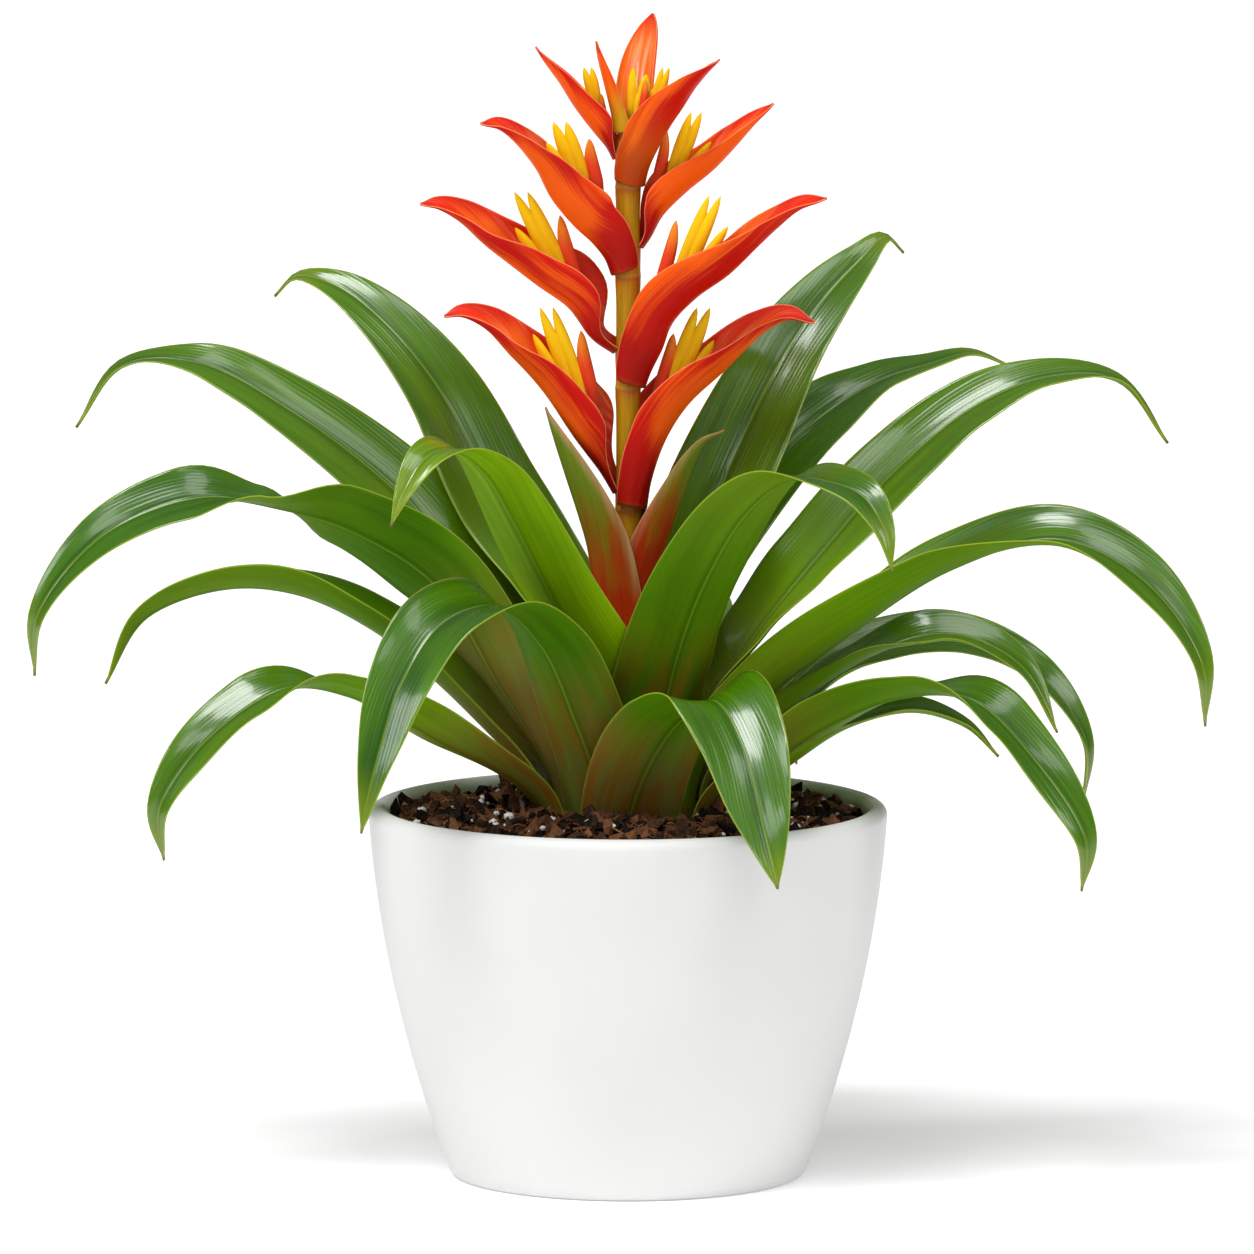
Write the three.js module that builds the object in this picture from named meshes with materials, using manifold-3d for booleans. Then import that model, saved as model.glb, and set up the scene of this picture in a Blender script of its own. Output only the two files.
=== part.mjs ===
// Potted vriesea: a rosette of strap leaves and one branched red flower spike in a plain white pot.
// Units are millimetres and +Z is up. The origin is the centre of the flat foot of the pot.
// Azimuth 0 points to +X, 90 to +Y (the back) and -90 to the front of the plant.

import * as THREE from 'three';
import { mergeVertices } from 'three/addons/utils/BufferGeometryUtils.js';
import Module from 'manifold-3d';

const wasm = await Module();
wasm.setup();

// Pot
const FOOT_RADIUS = 60;
const RIM_RADIUS = 88;
const WALL_BULGE_RADIUS = 84;
const POT_HEIGHT = 126;
const WALL_THICKNESS = 7;
const FLOOR_THICKNESS = 8;
const FOOT_CHAMFER = 1.5;
const POT_SIDES = 40;

// Soil
const SOIL_GAP = 0.3;
const SOIL_EDGE_HEIGHT = 121;
const SOIL_MOUND_HEIGHT = 126;
const PLANT_HOLE_TOP_RADIUS = 44;
const PLANT_HOLE_FLOOR_RADIUS = 33;
const PLANT_HOLE_FLOOR_HEIGHT = 110;
const SOIL_ROUGHNESS = 0.7;
const CHIP_COUNT = 42;
const CHIP_SEED = 7;

// Plant axis
const CORE_RADIUS = 6.2;
const CORE_BOTTOM = 110.4;
const CORE_TOP = 150;
const STEM_RADIUS = 4;
const STEM_NODE_RADIUS = 4.3;
const STEM_TOP = 356;
const STEM_SIDES = 12;

// Blades
const LEAF_THICKNESS = 1.0;
const BRACT_THICKNESS = 0.8;
const TIP_HALF_WIDTH = 0.5;
const LEAF_STEPS = 14;
const LEAF_STRIPS = 4;
const BRACT_STEPS = 9;
const BRACT_STRIPS = 6;
const LEAN = 1.35;

// A leaf path goes through [reach from the axis, height, azimuth]. Width is across the flattened
// blade and foot is the share of it at the base. A high taper keeps the blade wide until near its
// tip. Curl is half the angle of its rolled section and roll is its twist, both in degrees at even
// steps from the base to the tip. Near the axis a blade curls more, round it.
const LEAVES = [
  {
    name: 'leaf_front', width: 38, foot: 0.9, taper: 4.2, curl: [30, 36, 30, 22],
    roll: [0, 0, 12, 20, 15],
    path: [[28, 112, -91], [31, 127, -88], [43, 147, -80], [58, 164, -72], [73, 171, -67],
      [90, 158, -65], [104, 136, -65], [113, 112, -64]],
  },
  {
    name: 'leaf_left_6', width: 34, foot: 0.9, taper: 4, curl: [30, 34, 28, 20],
    roll: [0, 0, -10, -20, -20],
    path: [[24.6, 112, -107], [29, 136, -110], [42, 161, -114.5], [59.5, 188, -118.5], [80, 203, -123],
      [101, 198, -128], [117, 179, -130], [126, 156, -131], [132, 130, -132]],
  },
  {
    name: 'leaf_left_4', width: 35, foot: 0.75, taper: 3.6, curl: [30, 34, 26, 20],
    roll: [0, 0, 0, -20],
    path: [[13.8, 112, -95], [16, 145, -99], [26, 172, -111], [50.5, 204, -120], [75, 234, -121.5],
      [93, 250, -121], [109, 258, -122], [122, 256, -123], [131, 246, -124], [136, 234, -125]],
  },
  {
    name: 'leaf_right_4', width: 39, foot: 0.8, taper: 3.4, curl: [30, 34, 26, 20],
    roll: [0, 0, 0, 20],
    path: [[16.6, 112, -68], [19.5, 140, -67], [28, 166, -64], [39, 188, -63], [56, 213, -61],
      [77, 235, -59], [98, 247, -57], [116, 247.5, -55], [129, 243, -53], [137, 232, -52],
      [141, 219, -52]],
  },
  {
    name: 'leaf_right_1', width: 40, foot: 0.5, taper: 3.4, curl: [30, 30, 20, 16],
    roll: [0, 0, 8, 34, 48, 48, 48, 48, 20],
    path: [[10.5, 112, 15], [11.6, 160, 16], [20, 195, 17], [31, 228, 19], [58.5, 275, 27],
      [76.5, 294, 30], [94, 306, 33], [106, 313, 34], [115, 307, 35]],
  },
  {
    name: 'leaf_left_1', width: 37, foot: 0.65, taper: 3.6, curl: [30, 30, 20, 16],
    roll: [0, 0, -8, -30, -42, -45, -45, -45, -20],
    path: [[12.2, 112, 162], [13.2, 160, 162], [26, 194, 160], [49, 230, 158], [69, 264, 157],
      [91, 287, 156], [110, 298, 155], [125, 300, 155], [133, 293, 155]],
  },
  {
    name: 'leaf_left_2', width: 35, foot: 0.62, taper: 3, curl: [30, 34, 24, 18],
    roll: [0, 0, -12, -40, -52, -50, -42, -12, -28],
    path: [[15.6, 112, 173], [19, 150, 173], [35, 184, 171], [57, 207, 170], [82, 233.5, 170],
      [114, 258, 172], [147, 275, 173], [173, 273, 173], [188, 252, 174]],
  },
  {
    name: 'leaf_right_3', width: 33, foot: 0.7, taper: 3.4, curl: [30, 34, 24, 18],
    roll: [0, 0, 5, 20, 36, 44, 44, 38, 22, 10, 30],
    path: [[19.8, 112, 4], [22.5, 145, 4], [38, 177, 4], [67, 213, 6], [91, 239, 7], [118, 260, 8],
      [144, 270, 8], [168, 268, 8], [185, 246, 8]],
  },
  {
    name: 'leaf_right_2', width: 34, foot: 0.6, taper: 3, curl: [30, 34, 24, 18],
    roll: [0, 0, 0, 25, 45, 50, 48, 20, 8, 20],
    path: [[13.8, 112, 60], [15.4, 150, 60], [28, 190, 58], [52, 225, 44], [76, 249, 37],
      [104, 264, 35], [125, 269, 34], [143, 271, 34], [160, 265, 34]],
  },
  {
    name: 'leaf_right_5', width: 41, foot: 0.7, taper: 3, curl: [30, 50, 72, 70, 45, 30, 20],
    roll: [0, -5, -6, 6, 20, 38, 45],
    path: [[22, 112, -24], [25.5, 140, -24], [43, 160, -22], [77, 187.5, -19], [112, 211, -16],
      [149, 221.5, -15], [178, 208, -14], [197, 182, -14], [199, 159, -14]],
  },
  {
    name: 'leaf_left_3', width: 36, foot: 0.75, taper: 3, curl: [30, 40, 26, 20],
    roll: [0, 5, 22, 44, 57, 48, 0, -42, -47, -46, -45],
    path: [[20.2, 112, -164], [25.5, 134, -164], [45, 170, -165], [66, 203, -166], [93, 221.5, -168],
      [118, 230.5, -169], [146, 234, -170], [179, 221, -171], [200, 194, -172], [201, 173, -173]],
  },
  {
    name: 'leaf_left_5', width: 32, foot: 0.8, taper: 3.6, curl: [24, 50, 66, 66, 50, 40],
    roll: [0, 0, -6, -2, 10, 16, 18],
    path: [[23, 112, 168], [30, 131, 168], [47, 149.5, 168], [63, 165.5, 169], [86, 184, 170],
      [113, 197, 172], [139, 198.5, 173], [165, 188, 174], [178, 165, 175]],
  },
  {
    name: 'leaf_left_7', width: 30, foot: 0.85, taper: 3.6, curl: [24, 36, 28, 22],
    roll: [0, 10, 25, 15, -28, -48, -50],
    path: [[28, 112, -158], [34, 130, -160], [68, 152, -162], [98, 168, -163], [118, 171, -164],
      [146, 154, -165], [162, 130, -166], [160, 112, -167]],
  },
  {
    name: 'leaf_right_6', width: 26, foot: 0.85, taper: 3.4, curl: [24, 44, 34, 26],
    roll: [0, 0, -15, -5, 30, 45, 45],
    path: [[24, 112, 8], [28, 136, 8], [56, 160, 8], [88, 179, 7], [112, 183, 6], [134, 172, 5],
      [146, 149, 4]],
  },
  {
    name: 'leaf_right_7', width: 26, foot: 0.85, taper: 3.4, curl: [24, 40, 30, 24],
    roll: [0, 0, 10, 28, 42, 45, 45],
    path: [[26.8, 112, 25], [32, 133, 26], [60, 151, 32], [92, 170, 32], [124, 176, 26],
      [151, 163, 20], [166, 140, 19], [165, 118, 19]],
  },
  {
    name: 'leaf_right_8', width: 30, foot: 0.85, taper: 3.6, curl: [24, 40, 30, 24],
    roll: [0, 0, -24, -12, 30, 45, 45],
    path: [[28.8, 112, -24], [35, 130, -24], [54, 145, -23], [72, 157, -22], [97, 168, -20],
      [121, 168, -19], [144, 147, -18], [160, 121, -17], [159, 103, -17]],
  },
  {
    name: 'leaf_right_9', width: 22, foot: 0.85, taper: 3, curl: [24, 40, 30, 24],
    roll: [0, 0, 10, 20],
    path: [[31, 112, 8], [37, 126, 9], [56, 140, 10], [76, 152, 10], [98, 157, 8], [115, 152, 6],
      [126, 141, 4]],
  },
  {
    name: 'leaf_back_1', width: 30, foot: 0.6, taper: 3.2, curl: [30, 34, 24, 18],
    roll: [0, 0, 0, 8, 10],
    path: [[15.4, 112, 84], [17.2, 148, 84], [30, 180, 86], [54, 198, 90], [82, 194, 93],
      [106, 173, 95], [116, 148, 95]],
  },
  {
    name: 'leaf_back_2', width: 31, foot: 0.6, taper: 3.2, curl: [30, 34, 24, 18],
    roll: [0, 0, 0, -8, -12],
    path: [[17.4, 112, 73], [20.2, 145, 73], [38, 169, 73], [68, 184, 74], [98, 180, 75],
      [124, 160, 76], [136, 134, 76]],
  },
  {
    name: 'leaf_back_3', width: 30, foot: 0.6, taper: 3.2, curl: [30, 34, 24, 18],
    roll: [0, 0, 0, 8, 12],
    path: [[19.1, 112, 129], [22.6, 145, 129], [43, 174, 128], [74, 191, 127], [104, 187, 126],
      [130, 168, 124], [142, 146, 123]],
  },
  {
    name: 'leaf_back_4', width: 32, foot: 0.8, taper: 3.4, curl: [30, 36, 28, 20],
    roll: [0, 0, 5, 10],
    path: [[21.4, 112, 97], [24.5, 133, 97], [45, 152, 95], [76, 164, 90], [108, 155, 86],
      [130, 133, 83], [138, 108, 82]],
  },
  {
    name: 'leaf_back_5', width: 25, foot: 0.75, taper: 3.4, curl: [30, 36, 28, 20], roll: [0],
    path: [[24, 112, 71], [28, 131, 71], [52, 148, 70], [82, 158, 67], [110, 153, 65],
      [128, 138, 64], [134, 123, 64]],
  },
  {
    name: 'leaf_back_6', width: 28, foot: 0.8, taper: 3.4, curl: [30, 36, 28, 20], roll: [0],
    path: [[25.4, 112, 116], [30, 127, 116], [53, 141, 115], [84, 152, 112], [112, 146, 110],
      [128, 130, 109], [133, 118, 108]],
  },
];

// Scape bracts are small upright leaves that clasp the lower flower stem. They and the primary
// bracts of the spike are boat shaped. The path is the keel, as [reach, height, azimuth]. Flaps are
// the depths of its two sides, clockwise one first, gape is half its opening, and wrap is how far
// each side goes round the stem at the base, in degrees. A high taper keeps the flaps deep for long.
const SCAPE_BRACTS = [
  {
    name: 'scape_bract_left', flaps: [13, 16], gape: 8, wrap: [90, 118], taper: 3, roll: [0],
    path: [[8.7, 158, -172], [9.7, 176, -172], [11.5, 196, -172], [13.5, 213, -172], [16.5, 224, -172],
      [20.7, 237, -172], [24.8, 250, -172], [28, 261.5, -172]],
  },
  {
    name: 'scape_bract_right', flaps: [13, 6], gape: 6.5, wrap: [106, 90], taper: 2.6, roll: [0],
    path: [[5.8, 166, -12], [6.4, 188, -12], [8.2, 201, -12], [13, 216, -12], [18.5, 231, -12],
      [23, 243, -12], [27, 250, -12], [33, 254, -12]],
  },
  {
    name: 'scape_bract_front', flaps: [3, 3], gape: 6, wrap: [34, 34], taper: 3, roll: [0],
    path: [[11, 150, -112], [11.3, 166, -112], [11.8, 178, -110], [12.4, 190, -108]],
  },
  {
    name: 'scape_bract_back', flaps: [4, 4], gape: 4.5, wrap: [90, 90], taper: 2.6, roll: [0],
    path: [[5.4, 206, 80], [8, 220, 76], [13, 236, 70], [19, 251, 64]],
  },
];

const BRACTS = [
  {
    name: 'bract_1', flaps: [20, 14], gape: 7.5, wrap: [90, 50], taper: 1.9,
    roll: [0, 0, 0, -20, -32],
    path: [[4.9, 232, -176], [9, 239, -176], [18, 251, -177], [28, 266, -178], [39, 279, -178],
      [48, 289, -178], [56, 293, -178], [62, 292, -178]],
  },
  {
    name: 'bract_2', flaps: [14, 18], gape: 7, wrap: [115, 90], taper: 1.9, roll: [0, 0, 0, 20, 32],
    path: [[6.1, 227, -14], [7.6, 236, -12], [12.5, 250, -8], [20, 262, -5], [32, 273.5, -3],
      [45, 287, -3], [54, 292, -3], [63, 290, -3]],
  },
  {
    name: 'bract_3', flaps: [20, 14], gape: 7.5, wrap: [90, 60], taper: 1.9,
    roll: [0, 0, 0, -20, -32],
    path: [[4.9, 279.5, -176], [12, 284.5, -176], [20, 295, -177], [31, 303, -178], [46, 315, -178],
      [57, 325.5, -178], [64, 329.5, -178], [70, 330, -178]],
  },
  {
    name: 'bract_4', flaps: [15, 17], gape: 8, wrap: [112, 90], taper: 1.9, roll: [0, 0, 0, 20, 32],
    path: [[5.6, 268, -28], [7.6, 273, -28], [12, 281, -28], [16, 290, -28], [25, 299, -28],
      [38, 308, -28], [57, 325, -28], [66, 332, -28], [75, 335, -28]],
  },
  {
    name: 'bract_5', flaps: [15, 17], gape: 7.5, wrap: [90, 120], taper: 1.9,
    roll: [0, 0, 0, -20, -32],
    path: [[5.4, 306, -166], [7.6, 311.5, -166], [12, 317, -166], [18, 322.5, -166], [26, 332, -166],
      [32, 343, -166], [39, 352, -166], [45, 357, -166], [51, 358, -166]],
  },
  {
    name: 'bract_6', flaps: [11, 14], gape: 6.5, wrap: [45, 90], taper: 1.9,
    roll: [0, 0, 0, 12, 20],
    path: [[4.9, 315, -6], [7.6, 319, -5], [11.5, 326, -4], [20, 334.5, -3], [29, 342, -3],
      [37.5, 351.5, -3], [43, 358, -3], [49, 364, -3]],
  },
  {
    name: 'bract_7', flaps: [9, 9], gape: 6, wrap: [90, 40], taper: 1.9, roll: [0],
    path: [[4.9, 345, -176], [7, 349, -176], [12, 355, -177], [18, 363, -178], [23, 371, -178],
      [28, 378, -178], [31, 383, -178]],
  },
  {
    name: 'bract_8', flaps: [11, 11], gape: 7, wrap: [105, 110], taper: 1.9,
    roll: [0, 0, 0, 12, 20],
    path: [[5.4, 336, -45], [7.2, 341, -45], [10, 346, -45], [17, 356, -45], [25, 365, -45],
      [33, 373, -45], [43, 381, -45]],
  },
  {
    name: 'bract_9', flaps: [2.4, 4], gape: 3.6, wrap: [90, 90], taper: 1.9, roll: [0],
    path: [[4.4, 354, -166], [5.6, 361, -166], [8, 371, -166], [10, 379, -165], [11, 385, -165]],
  },
  {
    name: 'bract_10', flaps: [5, 3.6], gape: 7.5, wrap: [60, 40], taper: 3.5, roll: [0],
    path: [[5, 354, 58], [6.6, 362, 58], [8.5, 374, 55], [10.5, 385, 48], [12, 393.5, 45]],
  },
];

// Florets of each bract, in its own plane. A root or a tip is [reach, height above the bract base].
const FLORETS = [
  {
    bract: 'bract_1', base: 226, azimuth: -178, size: 1, root: [12, 24], tall: [27.5, 69],
    short: [32, 60], calyxRoot: [10.5, 32], calyx: [16.5, 61],
  },
  {
    bract: 'bract_2', base: 226, azimuth: -4, size: 1, root: [11.5, 30], tall: [25.5, 69],
    short: [29, 58], calyxRoot: [8.6, 34], calyx: [16, 60],
  },
  {
    bract: 'bract_3', base: 278, azimuth: -178, size: 1, root: [18, 18], tall: [36, 56],
    short: [38, 44], calyxRoot: [15.5, 19], calyx: [23.5, 48],
  },
  {
    bract: 'bract_4', base: 268, azimuth: -28, size: 1, root: [15, 26], tall: [33, 66],
    short: [38, 56], calyxRoot: [10, 28], calyx: [19, 57],
  },
  {
    bract: 'bract_5', base: 304, azimuth: -168, size: 1, root: [14, 26], tall: [23.5, 54],
    short: [28, 47], calyxRoot: [9, 26], calyx: [14, 48],
  },
  {
    bract: 'bract_6', base: 314, azimuth: -4, size: 0.8, root: [13, 18], tall: [23, 47],
    short: [28, 37], calyxRoot: [8, 16], calyx: [13.5, 41],
  },
  {
    bract: 'bract_7', base: 345, azimuth: -178, size: 0.6, root: [10.4, 15], tall: [13.6, 31],
    short: [16.5, 25], calyxRoot: [6.8, 8], calyx: [9.4, 22],
  },
  {
    bract: 'bract_8', base: 335, azimuth: -45, size: 0.7, root: [11, 22], tall: [18, 42],
    short: [14, 37], calyxRoot: [6, 24], calyx: [8.6, 37],
  },
];

const COLOURS = {
  pot: [0xf4f4f2, 0.75],
  soil: [0x2e1a10, 0.95],
  leaf: [0x3f8a1e, 0.35],
  core: [0x8a8a3a, 0.6],
  stem: [0xa8902a, 0.5],
  scape: [0x6f8a2c, 0.45],
  bract: [0xe0361a, 0.4],
  topBract: [0xf0701e, 0.4],
  yellow: [0xf5c518, 0.45],
  calyx: [0xd8402a, 0.45],
};

const radians = THREE.MathUtils.degToRad;

function at(reach, height, azimuth) {
  const angle = radians(azimuth);
  return new THREE.Vector3(reach * Math.cos(angle), reach * Math.sin(angle), height);
}

// The value of a list of even stations at the share s of the length, eased between stations.
function along(stations, s) {
  const place = s * (stations.length - 1);
  const index = Math.min(Math.floor(place), Math.max(stations.length - 2, 0));
  const next = stations[Math.min(index + 1, stations.length - 1)];
  return THREE.MathUtils.lerp(stations[index], next, THREE.MathUtils.smoothstep(place - index, 0, 1));
}

function material(kind) {
  const [color, roughness] = COLOURS[kind];
  return new THREE.MeshStandardMaterial({ color, roughness, metalness: 0, side: THREE.DoubleSide });
}

function indexed(positions, index) {
  const geometry = new THREE.BufferGeometry();
  geometry.setAttribute('position', new THREE.Float32BufferAttribute(positions, 3));
  geometry.setIndex(index);
  return geometry;
}

function strapWidth(leaf, s) {
  const spread = THREE.MathUtils.lerp(leaf.foot, 1, THREE.MathUtils.smoothstep(s, 0, 0.3));
  return spread * (1 - s ** leaf.taper);
}

// The section of a leaf is an arc that wraps the axis near the base. t runs from -1 to 1.
function strapSection(leaf, s, t, reach) {
  const half = Math.max(leaf.width / 2 * strapWidth(leaf, s), TIP_HALF_WIDTH);
  const bend = Math.max(radians(along(leaf.curl, s)), half / reach);
  return [half * Math.sin(bend * t) / bend, half * (1 - Math.cos(bend * t)) / bend];
}

// The section of a boat shaped bract is half an ellipse, round the stem at its base.
function boatSection(bract, s, t, reach) {
  const side = t < 0 ? 0 : 1;
  const start = bract.path[0][0];
  const opening = THREE.MathUtils.smoothstep(s, 0, 0.25);
  const wrap = radians(THREE.MathUtils.lerp(bract.wrap[side], 90, opening));
  const lean = bract.wrap[side] > 90 ? LEAN * (reach - start) / (1 - Math.cos(wrap)) : 0;
  const hug = start + lean;
  const swell = THREE.MathUtils.smoothstep(s, 0, 0.35);
  const flap = THREE.MathUtils.lerp(start, bract.flaps[side], swell);
  const open = flap * (1 - s ** bract.taper) ** 1.1;
  const depth = Math.max(THREE.MathUtils.lerp(hug, open, opening), 0.3);
  const gape = THREE.MathUtils.lerp(start, bract.gape, swell) * (1 - s ** 5) ** 0.8;
  const angle = t * wrap;
  return [Math.max(gape, TIP_HALF_WIDTH) * Math.sin(angle), depth * (1 - Math.cos(angle))];
}

// The frame of a blade at the share s: its point, and the directions across it and to its inner face.
function bladeFrame(curve, s, roll) {
  const point = curve.getPointAt(s);
  const ahead = curve.getTangentAt(s);
  const azimuth = Math.atan2(point.y, point.x);
  const across = new THREE.Vector3(-Math.sin(azimuth), Math.cos(azimuth), 0);
  across.addScaledVector(ahead, -across.dot(ahead)).normalize();
  across.applyAxisAngle(ahead, radians(roll));
  const inward = new THREE.Vector3().crossVectors(ahead, across);
  return { point, across, inward };
}

// The point and the inward normal of a section at t, in the plane across the blade.
function sectionPoint(section, s, t, reach) {
  const step = 0.02;
  const [x, y] = section(s, t, reach);
  const [x0, y0] = section(s, t - step, reach);
  const [x1, y1] = section(s, t + step, reach);
  const length = Math.hypot(x1 - x0, y1 - y0);
  return { x, y, normalX: (y0 - y1) / length, normalY: (x1 - x0) / length };
}

// A thin closed blade along a path, with the same triangles on both faces.
function bladeGeometry({ path, roll, section, thickness, steps, strips }) {
  const curve = new THREE.CatmullRomCurve3(path.map((p) => at(...p)), false, 'centripetal');
  const positions = [];
  for (const face of [0.5, -0.5]) {
    for (let i = 0; i <= steps; i++) {
      const s = i / steps;
      const frame = bladeFrame(curve, s, along(roll, s));
      const reach = Math.hypot(frame.point.x, frame.point.y);
      for (let j = 0; j <= strips; j++) {
        const spot = sectionPoint(section, s, 2 * j / strips - 1, reach);
        const vertex = frame.point.clone();
        vertex.addScaledVector(frame.across, spot.x + face * thickness * spot.normalX);
        vertex.addScaledVector(frame.inward, spot.y + face * thickness * spot.normalY);
        positions.push(vertex.x, vertex.y, vertex.z);
      }
    }
  }
  return indexed(positions, bladeTriangles(steps, strips));
}

function bladeTriangles(steps, strips) {
  const row = strips + 1;
  const under = row * (steps + 1);
  const index = [];
  for (let i = 0; i < steps; i++) {
    for (let j = 0; j < strips; j++) {
      const a = i * row + j;
      const b = a + row;
      index.push(a, b, b + 1, a, b + 1, a + 1);
      index.push(under + a, under + b + 1, under + b, under + a, under + a + 1, under + b + 1);
    }
    const left = i * row;
    const right = left + strips;
    index.push(left, under + left, under + left + row, left, under + left + row, left + row);
    index.push(right, right + row, under + right + row, right, under + right + row, under + right);
  }
  for (let j = 0; j < strips; j++) {
    const end = steps * row + j;
    index.push(j, j + 1, under + j + 1, j, under + j + 1, under + j);
    index.push(end, under + end + 1, end + 1, end, under + end, under + end + 1);
  }
  return index;
}

function leafGeometry(leaf) {
  return bladeGeometry({
    ...leaf,
    section: (s, t, reach) => strapSection(leaf, s, t, reach),
    thickness: LEAF_THICKNESS,
    steps: LEAF_STEPS,
    strips: LEAF_STRIPS,
  });
}

function bractGeometry(bract) {
  return bladeGeometry({
    ...bract,
    section: (s, t, reach) => boatSection(bract, s, t, reach),
    thickness: BRACT_THICKNESS,
    steps: BRACT_STEPS,
    strips: BRACT_STRIPS,
  });
}

function toSolid(geometry) {
  const bare = geometry.clone();
  bare.deleteAttribute('normal');
  bare.deleteAttribute('uv');
  const merged = mergeVertices(bare, 1e-4);
  return new wasm.Manifold(new wasm.Mesh({
    numProp: 3,
    vertProperties: new Float32Array(merged.attributes.position.array),
    triVerts: new Uint32Array(merged.index.array),
  }));
}

function fromSolid(solid) {
  const mesh = solid.getMesh();
  return indexed(Array.from(mesh.vertProperties), Array.from(mesh.triVerts));
}

function lathe(outline, sides) {
  const geometry = new THREE.LatheGeometry(outline.map(([r, z]) => new THREE.Vector2(r, z)), sides);
  geometry.rotateX(Math.PI / 2);
  geometry.deleteAttribute('normal');
  geometry.deleteAttribute('uv');
  return mergeVertices(geometry, 1e-4);
}

const potWall = new THREE.QuadraticBezierCurve(
  new THREE.Vector2(FOOT_RADIUS, 0),
  new THREE.Vector2(WALL_BULGE_RADIUS, (POT_HEIGHT - 1) / 2),
  new THREE.Vector2(RIM_RADIUS, POT_HEIGHT - 1),
);

function wallRadius(height) {
  return potWall.getPoint(height / (POT_HEIGHT - 1)).x;
}

function potGeometry() {
  const lipRadius = WALL_THICKNESS / 2;
  const lipHeight = POT_HEIGHT - lipRadius;
  const outline = [[0, 0], [FOOT_RADIUS - FOOT_CHAMFER, 0]];
  const wallSteps = 7;
  for (let i = 0; i < wallSteps; i++) {
    const height = THREE.MathUtils.lerp(FOOT_CHAMFER, lipHeight, i / wallSteps);
    outline.push([wallRadius(height), height]);
  }
  const lipCentre = wallRadius(lipHeight) - lipRadius;
  const lipSteps = 5;
  for (let i = 0; i <= lipSteps; i++) {
    const angle = Math.PI * i / lipSteps;
    outline.push([lipCentre + lipRadius * Math.cos(angle), lipHeight + lipRadius * Math.sin(angle)]);
  }
  const innerSteps = 3;
  for (let i = innerSteps - 1; i >= 0; i--) {
    const height = THREE.MathUtils.lerp(FLOOR_THICKNESS, lipHeight, i / innerSteps);
    outline.push([wallRadius(height) - WALL_THICKNESS, height]);
  }
  outline.push([0, FLOOR_THICKNESS]);
  return lathe(outline, POT_SIDES);
}

function soilHeight(reach) {
  const rimReach = wallRadius(SOIL_EDGE_HEIGHT) - WALL_THICKNESS;
  const share = THREE.MathUtils.smoothstep(reach, PLANT_HOLE_TOP_RADIUS - 10, rimReach);
  return THREE.MathUtils.lerp(SOIL_MOUND_HEIGHT, SOIL_EDGE_HEIGHT, share);
}

// A small repeatable random source, so that each build places the same chips.
function seededRandom(seed) {
  let state = seed;
  return () => {
    state = (state * 16807) % 2147483647;
    return state / 2147483647;
  };
}

function soilBody() {
  const outline = [[0, PLANT_HOLE_FLOOR_HEIGHT], [PLANT_HOLE_FLOOR_RADIUS, PLANT_HOLE_FLOOR_HEIGHT]];
  const edgeReach = wallRadius(SOIL_EDGE_HEIGHT) - WALL_THICKNESS - SOIL_GAP;
  const topSteps = 6;
  for (let i = 0; i <= topSteps; i++) {
    const reach = THREE.MathUtils.lerp(PLANT_HOLE_TOP_RADIUS, edgeReach, i / topSteps);
    outline.push([reach, soilHeight(reach)]);
  }
  const wallSteps = 3;
  const floor = FLOOR_THICKNESS + SOIL_GAP;
  for (let i = wallSteps - 1; i >= 0; i--) {
    const height = THREE.MathUtils.lerp(floor, SOIL_EDGE_HEIGHT, i / wallSteps);
    outline.push([wallRadius(height) - WALL_THICKNESS - SOIL_GAP - 0.4, height]);
  }
  outline.push([0, floor]);
  const geometry = lathe(outline.reverse(), POT_SIDES);
  const position = geometry.attributes.position;
  for (let i = 0; i < position.count; i++) {
    const x = position.getX(i);
    const y = position.getY(i);
    const z = position.getZ(i);
    if (z < SOIL_EDGE_HEIGHT - 1 || Math.hypot(x, y) > edgeReach - 1) continue;
    position.setZ(i, z + SOIL_ROUGHNESS * (Math.sin(0.61 * x + 1.7) + Math.sin(0.83 * y - 0.31 * x)));
  }
  return toSolid(geometry);
}

// One bark chip: a wedge of five corners above a sunk base.
function barkChip(random) {
  const length = 5 + 7 * random();
  const breadth = 3 + 4 * random();
  const geometry = new THREE.CylinderGeometry(0.35 * breadth, 0.5 * breadth, 5, 4);
  geometry.scale(length / breadth, 1, 1);
  geometry.rotateX(Math.PI / 2);
  geometry.rotateY(0.7 * (random() - 0.5));
  geometry.rotateZ(2 * Math.PI * random());
  const reach = 48 + 28 * Math.sqrt(random());
  const azimuth = 360 * random();
  const place = at(reach, soilHeight(reach) + 1.2 * (random() - 0.5), azimuth);
  geometry.translate(place.x, place.y, place.z);
  return toSolid(geometry);
}

function soilGeometry() {
  const random = seededRandom(CHIP_SEED);
  let soil = soilBody();
  for (let i = 0; i < CHIP_COUNT; i++) {
    soil = soil.add(barkChip(random));
  }
  return fromSolid(soil);
}

function coreGeometry() {
  return lathe([
    [0, CORE_BOTTOM], [CORE_RADIUS + 3, CORE_BOTTOM], [CORE_RADIUS + 2, CORE_BOTTOM + 14],
    [CORE_RADIUS - 0.6, CORE_TOP], [0, CORE_TOP],
  ], STEM_SIDES);
}

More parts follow.
